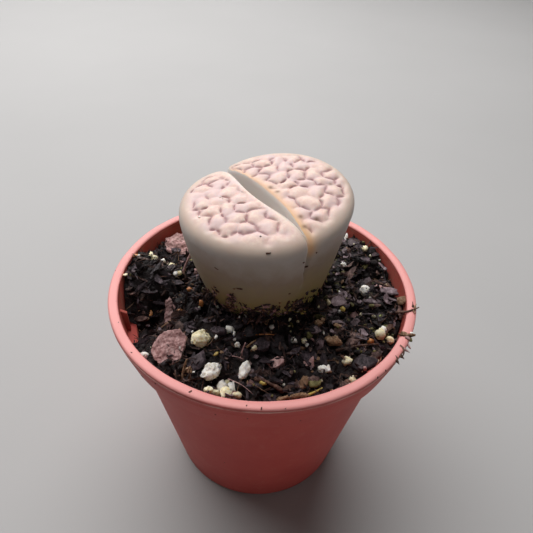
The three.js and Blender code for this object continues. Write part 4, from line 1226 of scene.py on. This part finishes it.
def paint_plant(mesh):
    """What each place of the skin is: crown, window, groove, crease, fissure face, amber edge, brown spot, a
    painted pale highlight along the left leaf's edge at the fissure, and a painted dark line of shade in the
    crease at the fissure's front end. The creases are painted darker as painted shade, and the fissure face
    is its own pale grey made paler as painted light.
    """
    points, facing = coordinates(mesh), normals(mesh)
    names = ("crown", "window", "groove", "valley", "face", "amber", "brink_highlight", "seam_shade", "spot")
    values = {name: np.zeros(len(points)) for name in names}
    along, sideways = from_plan(points[:, 0], points[:, 1])
    for leaf in (LEFT_LEAF, RIGHT_LEAF):
        mine = sideways * leaf.side >= 0
        u, v, z = along[mine], np.abs(sideways[mine]), points[mine, 2]
        above = z - leaf.shoulder - tilt_lift(leaf, u, v, leaf.shoulder)
        reach = reach_on_top(leaf, u, v)
        on_top = smoothstep(above, -0.5, 0.6)
        groove, crease = net_at(leaf, u, v)
        values["crown"][mine] = smoothstep(above, -0.2, 2.3)
        values["window"][mine] = on_top * (1 - smoothstep(reach, *WINDOW_REACHES))
        cosine, sine = math.cos(FISSURE_ANGLE), math.sin(FISSURE_ANGLE)
        outwards = (-facing[mine, 0] * sine + facing[mine, 1] * cosine) * leaf.side
        near_end = smoothstep(u, *NEAR_END_ALONG)
        # The fissure's inner face: its own pale grey, pushed paler as painted light because it lies in shade
        face = smoothstep(-outwards, 0.45, 0.9) * smoothstep(z, *FACE_LEVELS) * (1 - near_end)
        values["face"][mine] = face
        # Painted shade: a dark line in the crease at the fissure's front end
        values["seam_shade"][mine] = np.exp(-(v / SEAM_WIDTH) ** 2) * near_end * smoothstep(z, *SEAM_LEVELS)
        pillows = on_top * on_pillows(leaf, u, v)
        values["groove"][mine] = groove * pillows
        # Painted shade in the creases between the pillows
        values["valley"][mine] = crease * pillows
        inward = v - inner_face(leaf, u, leaf.shoulder)
        if leaf is RIGHT_LEAF:
            band = np.exp(-(inward / AMBER_WIDTH) ** 2) * smoothstep(above, -2.2, 0.6)
            values["amber"][mine] = band * (1 - face) * AMBER_STRENGTH
        else:
            # Painted highlight along the left leaf's edge at the fissure
            brink_highlight = np.exp(-(inward / BRINK_WIDTH) ** 2) * smoothstep(above, -0.8, 0.4)
            values["brink_highlight"][mine] = brink_highlight * (1 - smoothstep(u, *BRINK_END_ALONG))
    tree = face_tree(mesh)
    for pixel in SKIN_SPOTS:
        place, _ = seen_at(tree, pixel)
        away = np.linalg.norm(points - np.array(place), axis=1)
        values["spot"] = np.maximum(values["spot"], np.exp(-(away / SPOT_RADIUS) ** 2))
    for name, numbers in values.items():
        set_attribute(mesh, name, numbers)


def healed_seam(mesh):
    """Smooths the crease where the two leaves are one body, below the fissure."""
    points = coordinates(mesh)
    edges = np.zeros(len(mesh.edges) * 2, np.int32)
    mesh.edges.foreach_get("vertices", edges)
    a, b = edges.reshape(-1, 2).T
    ends, others = np.concatenate([a, b]), np.concatenate([b, a])
    valence = np.maximum(np.bincount(ends, minlength=len(points)), 1)
    _, sideways = from_plan(points[:, 0], points[:, 1])
    weight = (1 - smoothstep(np.abs(sideways), 1.5, 4.5)) * (1 - smoothstep(points[:, 2], HEAL_FROM, HEAL_TO))
    weight = weight * smoothstep(points[:, 2], LEAF_FOOT, SOIL_LEVEL)
    for _ in range(HEAL_ROUNDS):
        for axis in range(3):
            mean = np.bincount(ends, points[others, axis], len(points)) / valence
            points[:, axis] += weight * (mean - points[:, axis])
    set_coordinates(mesh, points)


def make_plant(materials):
    mesh = joined(joined(leaf_mesh(LEFT_LEAF), leaf_mesh(RIGHT_LEAF)), root_mesh())
    healed_seam(mesh)
    paint_plant(mesh)
    return piece("lithops_skin", mesh, materials["plant_skin"], ("lithops_body",))


# Soil

def bank_height(x, y):
    """How far the soil is banked up at a place, which is nothing near the plant."""
    angle = math.degrees(math.atan2(y, x))
    height = 0.0
    for middle, reach, top in BANKS:
        away = (angle - middle + 180) % 360 - 180
        height += top * math.exp(-(away / reach) ** 2)
    return height * float(smoothstep(math.hypot(x, y), BANK_FOOT, BANK_TOP))


def soil_height(x, y):
    """The packed soil's level: lumps of two sizes, a mound at the plant, banks at the wall and a hollow."""
    lumps = 0.45 * math.sin(0.62 * x + 1.3) * math.sin(0.55 * y + 0.4)
    lumps += 0.3 * math.sin(1.35 * x - 0.8 * y) * math.cos(1.1 * y + 0.5 * x)
    hollow = HOLLOW.depth * math.exp(-(math.hypot(x - HOLLOW.x, y - HOLLOW.y) / HOLLOW.reach) ** 2)
    mound = MOUND.height * math.exp(-(math.hypot(x - MOUND.x, y - MOUND.y) / MOUND.reach) ** 2)
    return SOIL_LEVEL + lumps + mound + bank_height(x, y) - hollow


def ground(x, y):
    """The soil's fine surface: the level with crumbly lumps and small pits."""
    lumps = sum(high * rough((x, y, level), frequency, octaves) for high, frequency, level, octaves in LUMPS)
    pits = PIT_DEPTH * float(smoothstep(rough((x, y, PIT_LEVEL), PIT_FREQUENCY, 3), 0.08, 0.42))
    return soil_height(x, y) + lumps - pits


def wall_radius(height):
    """The pot's inside radius at heights near the soil's top."""
    rise = (height - STEP_TOP) / (POT_HEIGHT - BEAD_HEIGHT - STEP_TOP)
    collar = lerp(COLLAR_BOTTOM_RADIUS - WALL, RIM_RADIUS - BEAD_WIDTH, rise)
    return np.where(height < STEP_TOP, BODY_TOP_RADIUS - WALL, collar)


def soil_edge(angle):
    """How far the soil's top reaches at an angle, inside the collar or, in the hollow, inside the ledge."""
    cosine, sine = math.cos(angle), math.sin(angle)
    radius = COLLAR_BOTTOM_RADIUS - WALL
    height = ground(radius * cosine, radius * sine)
    return wall_radius(height) - SOIL_GAP


def make_soil(materials):
    """The soil's fine surface on rings about the pot's axis, and plain sides down to the pot's floor."""
    angles = [2 * math.pi * step / SOIL_SIDES for step in range(SOIL_SIDES)]
    edges = [soil_edge(angle) for angle in angles]
    edges = [min(edges[i - 1], edges[i], edges[(i + 1) % SOIL_SIDES]) for i in range(SOIL_SIDES)]
    floor = PANEL_LIFT + FLOOR + SOIL_GAP
    inset = WALL + SOIL_GAP
    low = [(body_radius(floor) - inset, floor), (BODY_TOP_RADIUS - inset, STEP_BOTTOM - 1)]
    rings = [np.array([(r * math.cos(a), r * math.sin(a), z) for a in angles]) for r, z in low]
    for ring in range(SOIL_RINGS + 1):
        t = 1 - ring / SOIL_RINGS
        points = []
        for angle, edge in zip(angles, edges):
            radius = lerp(SOIL_CORE, edge, t)
            x, y = radius * math.cos(angle), radius * math.sin(angle)
            points.append((x, y, ground(x, y)))
        rings.append(np.array(points))
    mesh = mesh_from("soil", *skin(rings))
    outward(mesh)
    tint = [0.5 + 0.5 * rough((v.co.x, v.co.y, 3), 0.4, 3) for v in mesh.vertices]
    set_attribute(mesh, "tint", np.clip(tint, 0, 1))
    return piece("soil_bed", mesh, materials["soil"], ("soil",))


# Loose pieces that stand for packed ones

def fine_copy(name, voxel):
    """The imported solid, remeshed finely, in millimetres."""
    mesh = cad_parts[name].data.copy()
    mesh.transform(Matrix.Scale(1 / MM, 4))
    return with_modifier(mesh, "REMESH", mode="VOXEL", voxel_size=voxel)


def pushed_out(mesh, height_at):
    """Moves each point along its normal by a height worked out from its place."""
    points, facing = coordinates(mesh), normals(mesh)
    for i, point in enumerate(points):
        points[i] = point + facing[i] * height_at(point)
    set_coordinates(mesh, points)


def roughened(mesh, layers, offset):
    """Adds layers of noise: (frequency, height, octaves)."""
    def height_at(point):
        return sum(high * rough(point, frequency, octaves, offset) for frequency, high, octaves in layers)
    pushed_out(mesh, height_at)


def foamed(mesh, cells, height, offset):
    """Bulges a grain into round cells with creases between them."""
    def height_at(point):
        distances, _ = noise.voronoi(Vector(point) * cells + Vector((offset, 0, 0)))
        return height * (0.45 - distances[0])
    pushed_out(mesh, height_at)


def make_loose(materials):
    """A detailed piece in the place of each packed chip, grain, granule and twig."""
    offset = 0.0
    for finish in FINISHES:
        for kind, names in finish.pieces.items():
            for name in names:
                offset += NOISE_STEP
                mesh = fine_copy(name, finish.voxel)
                if finish.foam:
                    foamed(mesh, *finish.foam, offset)
                roughened(mesh, finish.noise, offset)
                tint = SHADED_TINT if name in SHADED else 0.8 + 0.15 * math.sin(offset)
                set_attribute(mesh, "tint", np.full(len(mesh.vertices), tint))
                piece(name + "_fine", mesh, materials[kind], (name,))


def slot_of(kind):
    return SLOTS.get(kind, kind)


# Small things, joined by kind: their shapes, those placed one by one, and those strewn on the soil

class Heap:
    """Small loose pieces gathered into one mesh, each with a tint of its own."""

    def __init__(self):
        self.points = []
        self.faces = []
        self.tints = []

    def add(self, points, faces, tint):
        start = len(self.points)
        self.points.extend(map(tuple, points))
        self.faces.extend(tuple(start + corner for corner in face) for face in faces)
        self.tints.extend([tint] * len(points))

    def build(self, name, material, slot, smooth=True):
        mesh = mesh_from(name, self.points, self.faces)
        set_attribute(mesh, "tint", self.tints)
        return piece(name, mesh, material, smooth=smooth)


def flake(draw, length, width, thick):
    """A thin plate with a ragged outline, a little bent, with an uneven top."""
    corners = draw.randint(6, 10)
    inner, upper, lower = [], [], []
    bend = draw.uniform(-0.12, 0.12) * length
    for i in range(corners):
        angle = 2 * math.pi * (i + draw.uniform(-0.35, 0.35)) / corners
        swell = draw.uniform(0.58, 1.0)
        x, y = length / 2 * swell * math.cos(angle), width / 2 * swell * math.sin(angle)
        sag = -bend * (2 * x / length) ** 2
        upper.append((x, y, sag + thick * draw.uniform(0.25, 0.5)))
        lower.append((x * 0.95, y * 0.95, sag - thick * 0.4))
        inner.append((x * 0.5, y * 0.5, sag * 0.3 + thick * draw.uniform(0.3, 0.6)))
    return skin([np.array(lower), np.array(upper), np.array(inner)])


def directions(turn, climb):
    """The way a strip or a rod runs on, and the directions to its side and above it."""
    level = math.cos(climb)
    heading = Vector((math.cos(turn) * level, math.sin(turn) * level, math.sin(climb)))
    side = heading.cross(Vector((0, 0, 1))).normalized()
    return heading, side, side.cross(heading)


def shred(draw, length, width, thick):
    """A torn strip of bark or root: ragged edges, kinks, a twist, and thin ends."""
    steps = draw.randint(4, 7)
    turn, climb, twist = 0.0, draw.uniform(-0.15, 0.25), draw.uniform(0, math.pi)
    place = Vector((0, 0, 0))
    rings = []
    for step in range(steps + 1):
        t = step / steps
        heading, side, up = directions(turn, climb)
        across = side * math.cos(twist) + up * math.sin(twist)
        over = up * math.cos(twist) - side * math.sin(twist)
        fullness = 0.25 + 0.75 * math.sin(math.pi * min(max(t, 0.08), 0.92))
        wide = across * (width / 2 * fullness * draw.uniform(0.6, 1.25))
        high = over * thick / 2
        rings.append(np.array([place + wide, place + high, place - wide, place - high]))
        place = place + heading * (length / steps)
        turn += draw.gauss(0, 0.28)
        climb += draw.gauss(0, 0.16)
        twist += draw.gauss(0, 0.3)
    points, faces = skin(rings)
    return points - points.mean(0), faces


def crumb(draw, size):
    """A lump with an uneven, broken surface."""
    rings = []
    stretch = [draw.uniform(0.65, 1.25) for _ in range(3)]
    sides = 6 if size < 0.7 else 8
    levels = 3 if size < 0.7 else 4
    for level in range(levels):
        climb = math.pi * ((level + 1) / (levels + 1) - 0.5)
        ring = []
        for step in range(sides):
            angle = 2 * math.pi * (step + 0.5 * (level % 2)) / sides
            radius = size / 2 * draw.uniform(0.65, 1.25)
            ring.append((
                radius * math.cos(climb) * math.cos(angle) * stretch[0],
                radius * math.cos(climb) * math.sin(angle) * stretch[1],
                radius * math.sin(climb) * 1.15 * stretch[2],
            ))
        rings.append(np.array(ring))
    return skin(rings)


def fibre(draw, length, radius, curl=0.5):
    """A thin root or splinter: a tapering rod that wanders sideways and up."""
    steps, sides = 7, 5
    turn, climb = 0.0, draw.uniform(-0.1, 0.25)
    place = Vector((0, 0, 0))
    bend_turn, bend_climb = draw.uniform(-curl, curl), draw.uniform(-curl, curl) * 0.5
    rings = []
    for step in range(steps + 1):
        t = step / steps
        heading, side, up = directions(turn, climb)
        girth = radius * (1 - 0.6 * t) * draw.uniform(0.85, 1.15)
        rings.append(np.array([
            place + (side * math.cos(a) + up * math.sin(a)) * girth
            for a in (2 * math.pi * i / sides for i in range(sides))
        ]))
        place = place + heading * (length / steps)
        turn += bend_turn / steps + draw.uniform(-0.12, 0.12) * curl
        climb += bend_climb / steps
    shape, faces = skin(rings)
    return shape - shape.mean(0), faces


def spike(draw, length, radius):
    """A splinter that narrows to a point, standing out from its root."""
    sides, steps = 6, 4
    rings = []
    for step in range(steps + 1):
        t = step / steps
        girth = radius * (1 - 0.94 * t)
        rings.append(np.array([
            (length * (t - 0.15), 1.3 * girth * math.cos(a) * draw.uniform(0.8, 1.1),
             0.7 * girth * math.sin(a) - 0.1 * length * t * t)
            for a in (2 * math.pi * i / sides for i in range(sides))
        ]))
    return skin(rings)


def turned(points, turn, tilt, lean):
    """Tilts a piece about a level axis at the angle lean, and turns it by turn."""
    matrix = Matrix.Rotation(lean, 3, "Z") @ Matrix.Rotation(tilt, 3, "X") @ Matrix.Rotation(turn, 3, "Z")
    return points @ np.array(matrix).T


# What makes a bit of each shape
SHAPES = {"crumb": crumb, "rod": fibre, "shred": shred, "spike": spike, "flake": flake}


def kept_inside(points):
    """Draws in what would reach into the pot's wall."""
    height = points[:, 2]
    limit = wall_radius(np.minimum(height, POT_HEIGHT - BEAD_HEIGHT))
    scale = np.minimum(limit / np.hypot(points[:, 0], points[:, 1]), 1)
    points[:, :2] *= np.where(height < POT_HEIGHT, scale, 1)[:, None]
    return points


def lay_bits(heaps, draw, bits, tree, flat):
    """Adds things where the photograph shows them: flat against a surface, or lying on level ground.
    A thing whose pixel meets nothing is left out."""
    for thing in bits:
        place, normal = seen_at(tree, thing.pixel)
        if place is None:
            continue
        points, faces = SHAPES[thing.shape](draw, *thing.size)
        spin = Matrix.Rotation(thing.turn, 3, "Z") @ Matrix.Rotation(-thing.tilt, 3, "Y")
        if flat:
            spin = normal.to_track_quat("Z", "Y").to_matrix() @ spin
            place = place + normal * 0.3 * thing.size[-1]
        else:
            place = place + Vector((0, 0, thing.lift))
        points = points @ np.array(spin).T + np.array(place)
        points[:, :2] = np.clip(points[:, :2], -RIM_RADIUS, RIM_RADIUS)
        heaps[thing.kind].add(points, faces, draw.uniform(*BIT_TINTS))


def foot_dirt(heaps, draw):
    """Crumbs, flakes and shreds in clumps that cling to the plant's foot, some higher than others."""
    for _ in range(FOOT_CLUMPS):
        leaf = draw.choice((LEFT_LEAF, RIGHT_LEAF))
        middle = draw.uniform(0, math.pi)
        reach = min(CLIMB_LEAST + draw.expovariate(1 / CLIMB_MORE), CLIMB_MOST)
        for _ in range(draw.randint(*CLUMP_BITS)):
            cling(heaps, draw, leaf, draw.gauss(middle, 0.09), reach * draw.random() ** 1.3)


def cling(heaps, draw, leaf, angle, climb):
    """Lays one bit of dirt against the plant, at an angle round the leaf and a height over the soil."""
    along, across = leaf_outline(leaf, np.array(angle), np.array(DIRT_LEVEL))
    height = ground(*to_plan(leaf, float(along), float(across))) + climb - DIRT_SINK
    along, across = leaf_outline(leaf, np.array(angle), np.array(height))
    foot = Vector(to_plan(leaf, float(along), float(across)))
    outwards = (foot - Vector(to_plan(RIGHT_LEAF, NECK_ALONG, NECK_ACROSS))).normalized()
    foot += outwards * (draw.uniform(-0.02, 0.25) + (draw.uniform(0, LOW_SPILL) if climb < LOW_CLIMB else 0))
    kind, shape, low, high = draw.choice(FOOT_KINDS)
    size = size_between(draw, low, high) * (1.0 if climb < HIGH_CLIMB else HIGH_SHRINK)
    thin = (size, size * draw.uniform(0.35, 0.8), 0.2)
    sizes = {"crumb": (size,), "flake": thin, "shred": (size, size * draw.uniform(0.16, 0.4), 0.16)}
    points, faces = SHAPES[shape](draw, *sizes[shape])
    spin = Vector((outwards.x, outwards.y, 0.35)).to_track_quat("Z", "Y").to_matrix()
    spin @= Matrix.Rotation(draw.uniform(0, math.pi), 3, "Z")
    spin @= Matrix.Rotation(draw.gauss(0, 0.45), 3, "X")
    heaps[kind].add(points @ np.array(spin).T + (foot.x, foot.y, height), faces, draw.uniform(0.1, 0.9))


def foot_patches(heaps, draw, tree):
    """The patches of dirt that the photograph shows on the plant's side, flat against its skin."""
    patches = []
    for (x, y), across, up, count in FOOT_PATCHES:
        for _ in range(count):
            kind = draw.choice(PATCH_KINDS)
            length = size_between(draw, 0.3, 1.6)
            size = (length, length * draw.uniform(0.25, 0.6), draw.uniform(0.15, 0.4))
            pixel = (draw.gauss(x, across), draw.gauss(y, up))
            shape = draw.choice(("shred", "flake"))
            patches.append(bit(pixel, shape, kind, size, draw.uniform(0, 180)))
    lay_bits(heaps, draw, patches, tree, True)


def make_bits(materials, pot, plant, soil):
    """The small things that the photograph shows one by one."""
    draw = random.Random(BITS_SEED)
    heaps = {kind: Heap() for kind in materials}
    pot_tree, plant_tree, soil_tree = (face_tree(made.data, 1 / MM) for made in (pot, plant, soil))
    lay_bits(heaps, draw, SOIL_BITS.values(), soil_tree, False)
    lay_bits(heaps, draw, SKIN_SPECKS.values(), plant_tree, True)
    lay_bits(heaps, draw, POT_SPECKS.values(), pot_tree, True)
    lay_bits(heaps, draw, RIM_SHREDS.values(), pot_tree, False)
    foot_dirt(heaps, draw)
    foot_patches(heaps, draw, plant_tree)
    for kind, heap in heaps.items():
        if heap.points:
            heap.build("bits_" + kind, materials[kind], slot_of(kind))


def in_plant(x, y, height, margin):
    """Whether a place is inside the plant's body, or within a margin of it."""
    along, sideways = from_plan(x, y)
    leaf = RIGHT_LEAF if sideways >= 0 else LEFT_LEAF
    wide = float(flare(leaf, height))
    half_length = lerp(NECK_RADIUS, leaf.half_length, wide) + margin
    depth = lerp(leaf.neck_depth, leaf.depth, wide) + margin
    shift = lerp(NECK_ALONG, leaf.shift, wide)
    return ((along - shift) / half_length) ** 2 + (abs(sideways) / depth) ** 2 < 1


def spot(draw, lean):
    """A random place on the open soil. With a lean up to 1, more and more are at the right and the back."""
    while True:
        angle, radius = draw.uniform(0, 2 * math.pi), LITTER_RADIUS * math.sqrt(draw.random())
        x, y = radius * math.cos(angle), radius * math.sin(angle)
        height = ground(x, y)
        scarce = lean * float(smoothstep(-x - y, *LEAN_STRETCH))
        if radius < wall_radius(height) - LITTER_MARGIN and not in_plant(x, y, height, LITTER_MARGIN):
            if draw.random() >= scarce:
                return x, y, height


def strew(heap, draw, count, shape, tilt, lift, lean):
    """Lays pieces on the soil: shape draws one, tilt is how far they slope, lift the range over the soil."""
    for _ in range(count):
        x, y, height = spot(draw, lean)
        points, faces = shape(draw)
        slope = min(abs(draw.gauss(0, tilt)), LITTER_STEEPEST)
        points = turned(points, draw.uniform(0, 2 * math.pi), slope, draw.uniform(0, 2 * math.pi))
        points = kept_inside(points + np.array((x, y, height + draw.uniform(*lift))))
        heap.add(points, faces, draw.random())


def size_between(draw, low, high):
    """A size between two, small ones being common."""
    return low * (high / low) ** (draw.random() ** 1.8)


def small_flake(low, high):
    def shape(draw):
        length = size_between(draw, low, high)
        return flake(draw, length, length * draw.uniform(0.35, 0.85), draw.uniform(0.16, 0.4))
    return shape


def small_crumb(low, high):
    return lambda draw: crumb(draw, size_between(draw, low, high))


def small_shred(low, high):
    def shape(draw):
        length = size_between(draw, low, high)
        return shred(draw, length, min(length * draw.uniform(0.1, 0.34), 1.1), draw.uniform(0.08, 0.2))
    return shape


def small_fibre(low, high, thin, thick, curl):
    def shape(draw):
        return fibre(draw, draw.uniform(low, high), draw.uniform(thin, thick), curl)
    return shape


def make_litter(materials):
    """Strews the litter, kind by kind."""
    draw = random.Random(LITTER_SEED)
    # Name, surface, count, shape, slope, range of heights over the soil, and lean to the right and the back
    kinds = [
        ("litter_crumbs", "soil", 1100, small_crumb(0.3, 1.3), 0.8, (-0.1, 0.3), 0),
        ("litter_dark_flakes", "bark_dark", 330, small_flake(1.0, 4.6), 0.5, (-0.1, 0.5), 0),
        ("litter_bark_flakes", "bark", 190, small_flake(0.8, 4.0), 0.5, (-0.1, 0.5), 0.3),
        ("litter_mauve_flakes", "bark_mauve", 230, small_flake(0.9, 4.2), 0.45, (0.2, 0.8), 0.92),
        ("litter_pink_flakes", "bark_pink", 50, small_flake(0.7, 2.6), 0.5, (0.0, 0.5), 0.3),
        ("litter_tan_flakes", "bark_tan", 80, small_flake(0.5, 1.9), 0.5, (0.1, 0.6), 0.7),
        ("litter_soil_shreds", "soil", 700, small_shred(1.0, 5.0), 0.55, (-0.1, 0.5), 0),
        ("litter_dark_shreds", "bark_dark", 620, small_shred(1.0, 5.5), 0.5, (0.0, 0.6), 0),
        ("litter_bark_shreds", "bark", 420, small_shred(1.0, 5.0), 0.45, (0.0, 0.6), 0.2),
        ("litter_twig_shreds", "twig", 200, small_shred(1.0, 4.5), 0.45, (0.1, 0.6), 0.2),
        ("litter_roots", "twig", 260, small_fibre(1.2, 5.0, 0.05, 0.13, 1.4), 0.35, (0.0, 0.6), 0),
        ("litter_pale_roots", "bark_tan", 50, small_fibre(1.5, 4.5, 0.04, 0.08, 2.2), 0.3, (0.1, 0.6), 0.3),
        ("litter_perlite", "perlite", 44, small_crumb(0.3, 0.9), 0.8, (0.1, 0.5), 0.4),
        ("litter_pumice", "pumice", 60, small_crumb(0.3, 1.2), 0.8, (0.1, 0.5), 0.6),
        ("litter_green", "bark_olive", 150, small_flake(0.6, 2.4), 0.5, (0.2, 0.7), 0.92),
    ]
    for name, kind, count, shape, tilt, lift, lean in kinds:
        heap = Heap()
        strew(heap, draw, count, shape, tilt, lift, lean)
        smooth = "flakes" not in name and "shreds" not in name
        heap.build(name, materials[kind], slot_of(kind), smooth)


# Camera, floor and light

def make_camera():
    right, top, forward = camera_axes()
    camera = bpy.data.objects.new("camera", bpy.data.cameras.new("camera"))
    matrix = Matrix((right, top, -forward)).transposed().to_4x4()
    matrix.translation = CAMERA_PLACE * MM
    camera.matrix_world = matrix
    camera.data.lens = CAMERA_LENS
    camera.data.sensor_width = CAMERA_SENSOR
    camera.data.clip_start = MM
    bpy.context.scene.collection.objects.link(camera)
    bpy.context.scene.camera = camera


def make_floor():
    points = [(x * FLOOR_HALF, y * FLOOR_HALF, 0) for x, y in ((-1, -1), (1, -1), (1, 1), (-1, 1))]
    mesh = mesh_from("floor", points, [(0, 1, 2, 3)])
    mesh.transform(Matrix.Scale(MM, 4))
    mesh.materials.append(floor_material())
    floor = bpy.data.objects.new("floor", mesh)
    bpy.context.scene.collection.objects.link(floor)


def make_lamp(name, place, width, power):
    light = bpy.data.lights.new(name, "AREA")
    light.shape = "DISK"
    light.size = width
    light.energy = power
    light.color = LAMP_COLOUR
    lamp = bpy.data.objects.new(name, light)
    lamp.location = place
    lamp.rotation_euler = (Vector(LAMP_TARGET) - Vector(place)).to_track_quat("-Z", "Y").to_euler()
    bpy.context.scene.collection.objects.link(lamp)


def make_light():
    for name, settings in LAMPS.items():
        make_lamp(name, *settings)
    world = bpy.data.worlds.new("world")
    world.use_nodes = True
    background = world.node_tree.nodes["Background"]
    background.inputs["Color"].default_value = SKY_COLOUR
    background.inputs["Strength"].default_value = SKY_STRENGTH
    bpy.context.scene.world = world
    bpy.context.scene.view_settings.view_transform = "Standard"


make_camera()
make_floor()
make_light()
materials = make_materials()
pot = make_pot(materials)
plant = make_plant(materials)
soil = make_soil(materials)
make_loose(materials)
make_bits(materials, pot, plant, soil)
make_litter(materials)
